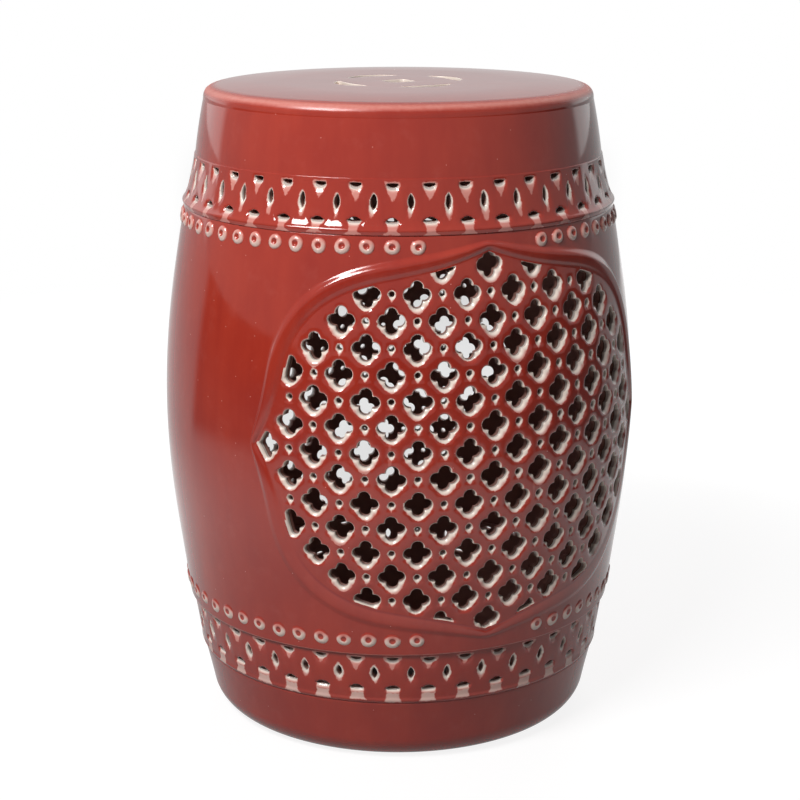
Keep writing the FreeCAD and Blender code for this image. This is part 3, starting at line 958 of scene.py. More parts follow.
@dataclass
class Barrel:
    """Side wall halves between the two medallions."""

    drum: Drum
    medallion: Medallion
    rows_between: int = 150
    columns: int = 96
    edge: float = 0.8
    edge_rows: tuple[float, ...] = (0.0, 0.04, 0.15, 0.34, 0.6, 1.0)
    least_step: float = 0.03
    even_share: float = 0.5
    crest: float = 0.4
    crest_rise: float = 0.5
    crest_reach: float = 0.7

    def heights(self) -> Array:
        """Heights of the rows: closer where an outline turns over and at the rounded edges."""
        low, high = self.drum.z_body, self.drum.z_upper_band
        quarter = self.medallion.outline.quarter(0.0)[:, 1]
        bend = self.edge * np.array(self.edge_rows)
        levels = [side * quarter + self.medallion.middle(face) for side in (1, -1) for face in Face]
        levels += [low + bend, high - bend, np.linspace(low, high, self.rows_between)]
        height = np.unique(np.round(np.concatenate(levels), 3))
        height = height[np.concatenate([[True], np.diff(height) > self.least_step])]
        height[-1] = high
        return height

    def build(self, side: Side) -> Skin:
        """Half of the barrel wall.

        Each row runs from the front outline round one side to the rear one.
        """
        low, high = self.drum.z_body, self.drum.z_upper_band
        wall = self.drum.wall
        height = self.heights()
        start, end = (self.medallion.outline.across_at(height - self.medallion.middle(face)) for face in Face)
        half_turn = np.pi * self.drum.belly
        even = np.linspace(0, 1, self.columns)
        share = self.even_share * even + (1 - self.even_share) * (1 - np.cos(np.pi * even)) / 2
        across = side.value * (start[:, None] + (half_turn - start - end)[:, None] * share)
        radius = self.drum.body()(height)
        inset = self.edge * (quarter_round(height - low, self.edge) + quarter_round(high - height, self.edge))
        outer = round_drum(across, height[:, None], (radius - inset)[:, None], self.drum.belly)
        inner = round_drum(across, height[:, None], (radius - wall)[:, None], self.drum.belly)
        crest = self.crest * np.exp(-(((height - low - self.crest_rise) / self.crest_reach) ** 2))
        skin = Skin()
        skin.add_grid(outer, False, crest=crest[:, None])
        skin.add_grid(inner, False, depth=wall)
        for column in (0, -1):
            strip = np.stack([outer[:, column], inner[:, column]], 1)
            skin.add_grid(strip, False, depth=np.array([[0.0, wall]]), crest=np.stack([crest, 0 * crest], 1))
        for row in (0, -1):
            strip = np.stack([outer[row], inner[row]])
            pale = np.array([[crest[row]], [0.0]])
            skin.add_grid(strip, False, depth=np.array([[0.0], [wall]]), crest=pale)
        return skin


@dataclass
class StudRow:
    """Applied studs with a dished face, softened by the glaze."""

    drum: Drum
    counts: tuple[int, int] = (25, 27)
    gap_angles: tuple[float, float] = (17.6, 15.2)
    radius: float = 5.35
    height: float = 1.6
    crest_radius: float = 2.6
    dimple: float = 1.1
    sink: float = 1.2
    upper_drop: float = 7.3
    lower_rise: float = 11.5
    spokes: int = 28
    dish_rows: int = 7
    flank_rows: int = 8
    flattening: float = 0.35
    face_power: float = 1.9
    dish_from: float = 0.6
    pale: float = 0.72
    # Paler ring on pooled studs: partly thin glaze, partly painted light.
    pooled_pale_and_painted_light: float = 0.2
    pale_ring: Pair = (1.4, 2.6)
    pale_end: Pair = (4.4, 5.4)
    pale_end_drop: float = 0.4
    side_pale: float = 0.88
    # Paler lower half: partly thin glaze, partly painted light on the lower flank.
    low_thin_and_painted_light: float = 0.12
    pooled_low_thin_and_painted_light: float = 0.3
    pool: float = 0.7
    pool_ring: Pair = (0.72, 0.96)
    pool_power: float = 1.3
    heart: float = 0.22
    heart_ring: Pair = (0.8, 2.2)
    matt: float = 0.3
    wobbles: Pair = (0.035, 0.02)
    size_spread: float = 0.02
    shift_spread: float = 0.25

    def angles(self, side: Side) -> Array:
        """Angle of each stud from the front, in radians."""
        index = int(side is Side.RIGHT)
        gap = self.gap_angles[index]
        return np.radians(np.linspace(gap, 180 - gap, self.counts[index]))

    def glaze(self, reach: Array, spoke: Array, pooled: float) -> Array:
        """Crest mark of a stud: pale round its dish and low down, partly painted light, with a pool over its
        upper edge.
        """
        pale = (self.pale + self.pooled_pale_and_painted_light * pooled) * smooth_step(reach, *self.pale_ring)
        pale = pale * (1 - self.pale_end_drop * smooth_step(reach, *self.pale_end))
        pool = self.pool * pooled * smooth_step(reach / self.radius, *self.pool_ring)
        heart = self.heart * pooled * (1 - smooth_step(reach, *self.heart_ring))
        # Paler on the lower half: partly thin glaze, and partly painted light on the lower flank that the
        # lamps leave dim.
        lean = self.side_pale - (self.low_thin_and_painted_light + self.pooled_low_thin_and_painted_light * pooled) * np.sin(spoke)
        upper = np.maximum(np.sin(spoke), 0) ** self.pool_power
        return pale[:, None] * lean + heart[:, None] - pool[:, None] * upper

    def build(self, level: float, side: Side, seed: int, pooled: float) -> Skin:
        """Studs of one run, each a little uneven.

        The face rises from a dished middle to a rounded crest and falls off along a power curve,
        and it leans with the wall behind it.

        Args:
            level: Height of the run.
            side: Side of the drum.
            seed: Chance of the run.
            pooled: How much of the glaze has run down, from 0 to 1: a thick pool over each
            stud, and a paler lower half that is partly thin glaze and partly painted light.
        """
        chance = np.random.default_rng(seed)
        body = self.drum.body()
        lean = math.atan2(float(body(level - self.radius) - body(level + self.radius)), 2 * self.radius)
        flank = np.linspace(self.crest_radius, self.radius, self.flank_rows)
        reach = np.concatenate([np.linspace(0, self.crest_radius, self.dish_rows), flank[1:]])
        fall = np.clip((reach - self.crest_radius) / (self.radius - self.crest_radius), 0, 1)
        dish = self.dimple * (1 - smooth_step(reach, self.dish_from, self.crest_radius))
        rise = (1 - self.flattening * pooled) * (self.height * (1 - fall**self.face_power) - dish)
        reach, rise = np.append(reach, self.radius), np.append(rise, -self.sink)
        spoke = np.linspace(0, 2 * np.pi, self.spokes, endpoint=False)
        crest = self.glaze(reach, spoke, pooled)
        number = np.arange(self.spokes)
        fan = np.stack([number, (number + 1) % self.spokes, 0 * number + self.spokes], 1)
        skin = Skin()
        for angle in self.angles(side):
            first, second = chance.uniform(0, 2 * np.pi, 2)
            wobble = 1 + self.wobbles[0] * np.cos(2 * spoke + first)
            wobble = wobble + self.wobbles[1] * np.cos(3 * spoke + second)
            size = chance.normal(1.0, self.size_spread)
            shift = chance.normal(0, self.shift_spread, 2)
            across = np.outer(reach, np.cos(spoke) * wobble) * size + shift[0]
            up = np.outer(reach, np.sin(spoke) * wobble) * size + shift[1]
            out = rise[:, None] + 0 * across
            height = level + up * math.cos(lean) + out * math.sin(lean)
            away = float(body(level)) - up * math.sin(lean) + out * math.cos(lean)
            turn = side.value * angle
            east = away * np.sin(turn) + across * np.cos(turn)
            north = across * np.sin(turn) - away * np.cos(turn)
            grid = np.stack([east, north, height], -1)
            skin.add_grid(grid, True, crest=crest, matt=self.matt)
            hub = skin.add_points(np.concatenate([grid[-1], grid[-1].mean(0)[None]]))
            skin.triangles.append(hub + fan)
        return skin


@dataclass
class Seat:
    """Seat disc with its coin piercing, and the shoulder under it."""

    drum: Drum
    clay: Clay = field(default_factory=lambda: Clay(wall=11.0, edge=0.5, slump=0.08))
    turn: float = math.radians(8.0)
    chord: float = 36.0
    half_length: float = 21.0
    outer_bulge: float = 12.0
    inner_bulge: float = 2.5
    square: float = 9.0
    corner: float = 3.0
    inner_circle: float = 24.0
    outer_circle: float = 66.0
    flat_radius: float = 124.0
    spigot_depth: float = 3.0
    spigot_width: float = 10.0
    spigot_gap: float = 0.4
    parts: int = 18
    dome_from: float = 80.0
    dome_drop: float = 1.3
    dome_rows: int = 24
    crescent_round: float = 1.2
    rim_knots: tuple[Pair, Pair] = ((2.4, 0.4), (0.2, 6.6))
    rim_rows: int = 26
    rim_crest: float = 0.45
    rim_matt: float = 2.4
    shoulder_rows: int = 44

    def crescent_level(self, places: Array) -> Array:
        """Distance from a crescent between two arcs on one chord, on the +X side."""
        outer = (self.half_length**2 + self.outer_bulge**2) / (2 * self.outer_bulge)
        inner = (self.half_length**2 + self.inner_bulge**2) / (2 * self.inner_bulge)
        outer_x = self.chord + self.outer_bulge - outer
        inner_x = self.chord + self.inner_bulge - inner
        away = np.hypot(places[..., 0] - outer_x, places[..., 1]) - outer
        near = inner - np.hypot(places[..., 0] - inner_x, places[..., 1])
        return soft_max(away, near, self.crescent_round)

    def square_level(self, places: Array) -> Array:
        """Distance from a square with rounded corners."""
        past = np.abs(places) - (self.square - self.corner)
        outside = np.hypot(np.maximum(past[..., 0], 0), np.maximum(past[..., 1], 0))
        return outside + np.minimum(past.max(-1), 0) - self.corner

    def sector(self) -> Array:
        """Border of a quarter ring round a crescent, anticlockwise."""
        turn = np.linspace(-np.pi / 4, np.pi / 4, self.parts + 1)
        ray = np.stack([np.cos(turn), np.sin(turn)], 1)
        reach = np.linspace(self.inner_circle, self.outer_circle, self.parts + 1)[1:-1, None]
        return np.concatenate(
            [self.outer_circle * ray, reach[::-1] * ray[-1], self.inner_circle * ray[::-1], reach * ray[0]]
        )

    def disc(self) -> Skin:
        """Seat disc: pierced middle, and the rim carried round from its top to its underside."""
        skin = Skin()
        quarter = np.linspace(-np.pi / 4, np.pi / 4, self.parts + 1)[:-1]
        ring = (quarter[None] + np.arange(4)[:, None] * np.pi / 2).ravel()
        circle = self.inner_circle * np.stack([np.cos(ring), np.sin(ring)], 1)
        self.lay(skin, self.clay.cell(np.zeros(2), circle, self.square_level), self.turn)
        centre = np.array([self.chord + (self.outer_bulge + self.inner_bulge) / 2, 0.0])
        sector = self.clay.cell(centre, self.sector(), self.crescent_level)
        for index in range(4):
            self.lay(skin, sector, self.turn + index * np.pi / 2)
        path, crest, depth, matt = self.rim_path()
        angle = ring + self.turn
        reach = path[:, :1]
        grid = np.stack([reach * np.cos(angle), reach * np.sin(angle), path[:, 1:] + 0 * angle], -1)
        skin.add_grid(grid, True, crest=crest[:, None], depth=depth[:, None], matt=matt[:, None])
        return skin

    def lay(self, skin: Skin, cell: Cell, turn: float) -> None:
        """Lay a cell's rings flat on the seat, turned about its middle."""
        places, depth, halo = cell
        cosine, sine = math.cos(turn), math.sin(turn)
        x = places[..., 0] * cosine - places[..., 1] * sine
        y = places[..., 0] * sine + places[..., 1] * cosine
        grid = np.stack([x, y, self.drum.z_top - depth], -1)
        inside = self.drum.wall
        skin.add_grid(grid, True, halo=halo, depth=np.minimum(depth * inside / self.clay.wall, inside))

    def rim_path(self) -> tuple[Array, Array, Array, Array]:
        """Path of (radius, height) from the seat's top over its rim and back under it.

        The top falls off as a parabola towards the rim, and the rim is a cubic Bezier curve.

        Returns:
            The path, and its crest, depth and matt marks.
        """
        top, low = self.drum.z_top, self.drum.z_seat
        edge = self.drum.shoulder_radii[2]
        reach = np.linspace(self.outer_circle, self.flat_radius, self.dome_rows)
        past = np.clip((reach - self.dome_from) / (self.flat_radius - self.dome_from), 0, 1)
        flat = np.stack([reach, top - self.dome_drop * past**2], 1)
        lip = top - self.dome_drop
        share = np.linspace(0, 1, self.rim_rows)[1:, None]
        (high_in, high_drop), (low_in, low_rise) = self.rim_knots
        upper, lower = (edge - high_in, lip - high_drop), (edge - low_in, low + low_rise)
        knots = np.array([(self.flat_radius, lip), upper, lower, (edge, low)])
        bend = sum(math.comb(3, k) * share**k * (1 - share) ** (3 - k) * knots[k] for k in range(4))
        spigot = edge - self.drum.wall - self.spigot_gap
        inner, deep = spigot - self.spigot_width, low - self.spigot_depth
        under = [(spigot, low), (spigot, deep), (inner, deep), (inner, low), (self.outer_circle, low)]
        path = np.concatenate([flat, bend, under])
        crest = np.zeros(len(path))
        crest[len(flat) : -len(under)] = self.rim_crest * np.sin(np.pi * share[:, 0]) ** 2
        depth = np.repeat([0.0, self.drum.wall], [len(path) - len(under), len(under)])
        return path, crest, depth, self.rim_matt * crest

    def shoulder(self) -> Skin:
        """Plain wall between the upper band and the seat."""
        low, high = self.drum.z_shoulder, self.drum.z_seat
        first, middle, last = self.drum.shoulder_radii
        outer = arc_through((first, low), (middle, (low + high) / 2), (last, high), self.shoulder_rows)
        inner = (outer - (self.drum.wall, 0))[::-1]
        crest = np.zeros(len(outer) * 2)
        depth = np.repeat([0.0, self.drum.wall], len(outer))
        return turned(np.concatenate([outer, inner]), self.drum.columns, crest, depth)


@dataclass
class Foot:
    """Plain foot with its rounded heel, and the bare base ring luted into it.

    Points are (radius, height), and each point of the lip is how far in and how far down it is.
    """

    drum: Drum
    heel: tuple[Pair, Pair, Pair] = ((119.53, 0.0), (132.5, 4.6), (139.8, 17.0))
    middle: Pair = (142.6, 30.0)
    top_radius: float = 146.6
    lip: tuple[Pair, ...] = ((0.0, 0.9), (0.25, 0.3), (0.8, 0.0))
    lip_crest: tuple[float, ...] = (0.05, 0.1, 0.2, 0.18, 0.1)
    inner_heel: Pair = (126.0, 11.5)
    heel_rows: int = 30
    side_rows: int = 24
    ring_radius: float = 108.0
    ring_thickness: float = 9.0
    mouth_radius: float = 80.0
    mouth_round: float = 1.5
    mouth_diagonal: float = 0.44
    mouth_rows: int = 6
    ring_columns: int = 192

    def side_wall(self) -> Skin:
        """Foot wall: heel, side and lip outside, and the wall's inner face down to the base ring."""
        wall, top = self.drum.wall, self.drum.z_lower_band
        lip = np.array([self.top_radius, top]) - self.lip
        low = np.maximum(arc_through(*self.heel, self.heel_rows), 0)
        high = arc_through(self.heel[2], self.middle, tuple(lip[0]), self.side_rows)[1:]
        outer = np.concatenate([low, high, lip[1:]])
        inner = np.array([(self.top_radius, top), self.middle, self.heel[2]]) - (wall, 0)
        ring = [self.inner_heel, (self.ring_radius, self.ring_thickness), (self.ring_radius, 0.0)]
        profile = np.concatenate([outer, inner, ring])
        depth = np.repeat([0.0, wall], [len(outer), len(profile) - len(outer)])
        crest = np.zeros(len(profile))
        crest[len(outer) - len(self.lip_crest) : len(outer)] = self.lip_crest
        return turned(profile, self.drum.columns, crest, depth)

    def base(self) -> Skin:
        """Bare base ring with its round mouth."""
        mouth, thick = self.mouth_radius, self.ring_thickness
        edge, diagonal = mouth + self.mouth_round, mouth + self.mouth_diagonal
        turn = (edge, 0.0), (diagonal, self.mouth_diagonal), (mouth, self.mouth_round)
        low = arc_through(*turn, self.mouth_rows)
        high = low[::-1] * (1, -1) + (0, thick)
        ends = [(self.ring_radius, thick), (self.ring_radius, 0.0)]
        return turned(np.concatenate([low, high, ends]), self.ring_columns)


class Nodes:
    """Short hand for building a material's nodes."""

    def __init__(self, name: str) -> None:
        """Start an empty material of that name."""
        self.material = bpy.data.materials.new(name)
        self.material.use_nodes = True
        self.tree = self.material.node_tree
        self.tree.nodes.clear()

    @classmethod
    def of_tree(cls, tree: bpy.types.NodeTree) -> "Nodes":
        """Work on a tree that exists, emptied first."""
        nodes = cls.__new__(cls)
        nodes.tree = tree
        tree.nodes.clear()
        return nodes

    def add(self, kind: str, inputs: dict[object, object] | None = None,
            **settings: object) -> bpy.types.Node:
        """Add a node, set its options, and set or link its inputs."""
        node = self.tree.nodes.new(kind)
        for name, value in settings.items():
            setattr(node, name, value)
        for name, value in (inputs or {}).items():
            self.feed(node.inputs[name], value)
        return node

    def feed(self, socket: Socket, value: object) -> None:
        """Link a socket to an output, or set its own value."""
        if isinstance(value, Socket):
            self.tree.links.new(value, socket)
        else:
            socket.default_value = value

    def math(self, operation: str, *values: object) -> Socket:
        """Result of a Math node."""
        node = self.tree.nodes.new("ShaderNodeMath")
        node.operation = operation
        for socket, value in zip(node.inputs, values):
            self.feed(socket, value)
        return node.outputs[0]

    def plus(self, first: object, second: object) -> Socket:
        """Sum of two values."""
        return self.math("ADD", first, second)

    def times(self, first: object, second: object) -> Socket:
        """Product of two values."""
        return self.math("MULTIPLY", first, second)

    def between(self, value: object, low: float, high: float,
                out_low: float = 0.0, out_high: float = 1.0) -> Socket:
        """Smooth rise from out_low at low to out_high at high."""
        inputs = {"Value": value, "From Min": low, "From Max": high, "To Min": out_low, "To Max": out_high}
        return self.add("ShaderNodeMapRange", inputs, interpolation_type="SMOOTHSTEP").outputs["Result"]

    def bump(self, height: Socket, strength: float, distance: float, normal: Socket | None = None) -> Socket:
        """Normal of a surface that a height raises, on top of another normal where one is given."""
        inputs = {"Height": height, "Strength": strength, "Distance": distance}
        if normal is not None:
            inputs["Normal"] = normal
        return self.add("ShaderNodeBump", inputs).outputs["Normal"]

    def mark(self, name: str) -> Socket:
        """Value of a mesh attribute."""
        return self.add("ShaderNodeAttribute", attribute_name=name).outputs["Fac"]

    def noise(self, scale: float, detail: float = 3.0, roughness: float = 0.5,
              vector: Socket | None = None) -> Socket:
        """Noise on object coordinates, from 0 to 1."""
        place = vector or self.place()
        inputs = {"Vector": place, "Scale": scale, "Detail": detail, "Roughness": roughness}
        return self.add("ShaderNodeTexNoise", inputs).outputs["Fac"]

    def place(self, scale: Sequence[float] = (1, 1, 1)) -> Socket:
        """Object coordinates, stretched by scale."""
        source = self.add("ShaderNodeTexCoord").outputs["Object"]
        if tuple(scale) == (1, 1, 1):
            return source
        return self.add("ShaderNodeMapping", {"Vector": source, "Scale": scale}).outputs["Vector"]

    def mix(self, share: object, first: object, second: object) -> Socket:
        """Colour between two colours."""
        node = self.tree.nodes.new("ShaderNodeMix")
        node.data_type = "RGBA"
        self.feed(node.inputs[0], share)
        for socket, colour in ((node.inputs[6], first), (node.inputs[7], second)):
            self.feed(socket, (*colour, 1.0) if isinstance(colour, tuple) else colour)
        return node.outputs[2]

    def ramp(self, value: object, stops: Sequence[float], colours: Sequence[Colour]) -> Socket:
        """Colour ramp with a colour at each stop."""
        node = self.add("ShaderNodeValToRGB", {"Fac": value})
        elements = node.color_ramp.elements
        while len(elements) < len(stops):
            elements.new(0.5)
        for element, position, colour in zip(elements, stops, colours):
            element.position = position
            element.color = (*colour, 1.0)
        return node.outputs["Color"]

    def finish(self, shader: Socket) -> bpy.types.Material:
        """Link the shader to the output and return the material."""
        self.add("ShaderNodeOutputMaterial", {"Surface": shader})
        return self.material


@dataclass(frozen=True)
class RedGlaze:
    """Glossy translucent red glaze that breaks to pink and cream where it is thin.

    Thin glaze shows along openings, in the runs below them and on raised edges. The wall
    inside an opening is greyish and then dark brown, a painted shade deep in the opening, and
    the inside of the drum is a dull brown. A fade gives the two places between which a value
    changes, and its value at either. A noise gives its scale, detail and roughness, and a bump
    its strength and distance. Specks and drips are spots.
    """

    deep: Colour = (0.33, 0.022, 0.012)
    bright: Colour = (0.42, 0.036, 0.017)
    pool: Colour = (0.24, 0.008, 0.006)
    rose: Colour = (0.55, 0.13, 0.10)
    pink: Colour = (0.70, 0.31, 0.26)
    cream: Colour = (0.84, 0.72, 0.63)
    grey_wall: Colour = (0.50, 0.43, 0.39)
    # Painted shade: the near-black colour of the wall deep inside an opening.
    shaded_wall_colour: Colour = (0.10, 0.05, 0.035)
    inside: Colour = (0.34, 0.17, 0.14)
    wobble_scale: float = 330.0
    wobble: float = 2.4
    run_pale: float = 0.44
    run_rise: Fade = (0.18, 0.78, 0.0, 0.5)
    run_border: Pair = (-0.5, 0.8)
    line_wobble: float = 0.02
    line: Fade = (0.80, 0.93, 0.0, 0.85)
    near_line: Fade = (0.4, 0.95, 0.0, 0.16)
    crest_wobble: float = 0.05
    raised: Fade = (0.08, 0.9, 0.0, 0.85)
    pooled: Pair = (-0.1, -0.7)
    specks: tuple[float, float, float, float] = (75.0, 75.0, 0.03, 0.86)
    speck_share: float = 0.5
    drips: tuple[float, float, float, float] = (30.0, 3.0, 0.045, 0.72)
    drip_heights: Fade = (0.440, 0.446, 0.2, 0.0)
    spot_radius: float = 0.16
    spot_edge: Pair = (0.4, 1.2)
    cloud: Noise = (9.0, 4.0, 0.55)
    cloud_share: float = 0.6
    streak: Noise = (1.0, 3.0, 0.6)
    streak_stretch: tuple[float, float, float] = (55.0, 55.0, 6.0)
    mottle: Noise = (70.0, 3.0, 0.6)
    mottled: Fade = (0.5, 0.8, 0.0, 0.10)
    thickness: Pair = (0.32, 0.7)
    breaking: Pair = (0.02, 0.30)
    break_stops: tuple[float, ...] = (0.0, 0.25, 0.55, 0.95)
    wall_stops: tuple[float, ...] = (0.20, 0.32, 0.50, 0.55, 0.64)
    wall_depth: float = 8.0
    wall_starts: Pair = (1.6, 2.6)
    sheen: Fade = (0.3, 0.8, 0.05, 0.10)
    inside_dulling: Fade = (4.5, 5.5, 0.0, 0.5)
    matt_dulling: float = 0.35
    ripple: Noise = (30.0, 1.0)
    ripple_bump: Pair = (0.05, 0.0012)
    peel: Noise = (420.0, 2.0)
    peel_bump: Pair = (0.03, 0.00025)
    refraction: float = 1.56

    def pale_share(self, n: Nodes) -> Socket:
        """How far the glaze has broken to cream, from 0 to 1."""
        wobble = n.times(n.math("SUBTRACT", n.noise(self.wobble_scale, 2.0), 0.5), self.wobble)
        run = n.plus(n.math("SUBTRACT", n.mark("run"), RUN_ZERO), wobble)
        halo = n.mark("halo")
        body = n.plus(self.run_pale, n.between(halo, *self.run_rise))
        in_run = n.times(n.between(run, *self.run_border), body)
        ragged = n.plus(halo, n.times(wobble, self.line_wobble))
        edge = n.plus(n.between(ragged, *self.line), n.between(halo, *self.near_line))
        crest = n.plus(n.mark("crest"), n.times(wobble, self.crest_wobble))
        raised = n.between(crest, *self.raised)
        pale = n.math("MAXIMUM", in_run, n.math("MAXIMUM", edge, raised))
        speck = n.times(self.spots(n, *self.specks), self.speck_share)
        height = n.add("ShaderNodeSeparateXYZ", {"Vector": n.place()}).outputs["Z"]
        drip = n.times(self.spots(n, *self.drips), n.between(height, *self.drip_heights))
        return n.math("MINIMUM", n.math("MAXIMUM", pale, n.math("MAXIMUM", speck, drip)), 1.0)

    def spots(self, n: Nodes, across: float, up: float, size: float, rarity: float) -> Socket:
        """Soft spots scattered round the drum, one in a few Voronoi cells.

        Args:
            n: The material's nodes.
            across: Cells to the metre round the drum.
            up: Cells to the metre up the drum, so that fewer cells make longer spots.
            size: Radius of a spot, in cells.
            rarity: Share of the cells that stay empty.
        """
        parts = n.add("ShaderNodeSeparateXYZ", {"Vector": n.place()}).outputs
        angle = n.math("ARCTAN2", parts["X"], n.times(parts["Y"], -1.0))
        flat = {"X": n.times(angle, self.spot_radius * across), "Y": n.times(parts["Z"], up)}
        flat = n.add("ShaderNodeCombineXYZ", flat).outputs["Vector"]
        cells = n.add("ShaderNodeTexVoronoi", {"Vector": flat, "Scale": 1.0}, voronoi_dimensions="2D").outputs
        chosen = n.add("ShaderNodeSeparateColor", {"Color": cells["Color"]}).outputs[0]
        low, high = (share * size for share in self.spot_edge)
        spot = n.between(cells["Distance"], low, high, 1.0, 0.0)
        return n.times(spot, n.math("GREATER_THAN", chosen, rarity))

    def material(self) -> bpy.types.Material:
        """Build the glaze."""
        n = Nodes("red_glaze")
        cloud = n.noise(*self.cloud)
        mottle = n.noise(*self.mottle)
        streak = n.noise(*self.streak, n.place(self.streak_stretch))
        thick = n.plus(n.times(cloud, self.cloud_share), n.times(streak, 1 - self.cloud_share))
        red = n.mix(n.between(thick, *self.thickness), self.deep, self.bright)
        red = n.mix(n.between(mottle, *self.mottled), red, self.rose)
        pale = self.pale_share(n)
        broken = n.ramp(pale, self.break_stops, (self.rose, self.rose, self.pink, self.cream))
        colour = n.mix(n.between(pale, *self.breaking), red, broken)
        colour = n.mix(n.between(n.mark("crest"), *self.pooled), colour, self.pool)
        depth = n.mark("depth")
        # Wall ramp: cream and grey near the face, painted shade at mid-wall, then the inside colour.
        clay = (self.cream, self.grey_wall, self.grey_wall, self.shaded_wall_colour, self.inside)
        wall = n.ramp(n.math("DIVIDE", depth, self.wall_depth), self.wall_stops, clay)
        colour = n.mix(n.between(depth, *self.wall_starts), colour, wall)
        dull = n.plus(n.between(depth, *self.inside_dulling), n.times(n.mark("matt"), self.matt_dulling))
        rough = n.plus(n.between(mottle, *self.sheen), dull)
        ripple = n.bump(n.noise(*self.ripple), *self.ripple_bump)
        peel = n.bump(n.noise(*self.peel), *self.peel_bump, ripple)
        inputs = {"Base Color": colour, "Roughness": rough, "IOR": self.refraction, "Normal": peel}
        return n.finish(n.add("ShaderNodeBsdfPrincipled", inputs).outputs["BSDF"])


@dataclass(frozen=True)
class BareClay:
    """Unglazed stoneware with fine grit."""

    light: Colour = (0.58, 0.45, 0.34)
    dark: Colour = (0.36, 0.25, 0.18)
    grit: Colour = (0.16, 0.10, 0.07)
    grain: Noise = (260.0, 5.0, 0.65)
    grains: Fade = (0.62, 0.72, 0.0, 0.8)
    cloud: Noise = (22.0, 4.0)
    clouds: Pair = (0.35, 0.7)
    dull: Fade = (0.3, 0.7, 0.8, 0.95)
    grain_bump: Pair = (0.35, 0.0004)

    def material(self) -> bpy.types.Material:
        """Build the clay."""
        n = Nodes("bare_clay")
        grain = n.noise(*self.grain)
        colour = n.mix(n.between(n.noise(*self.cloud), *self.clouds), self.light, self.dark)
        colour = n.mix(n.between(grain, *self.grains), colour, self.grit)
        rough, normal = n.between(grain, *self.dull), n.bump(grain, *self.grain_bump)
        inputs = {"Base Color": colour, "Roughness": rough, "Normal": normal}
        return n.finish(n.add("ShaderNodeBsdfPrincipled", inputs).outputs["BSDF"])


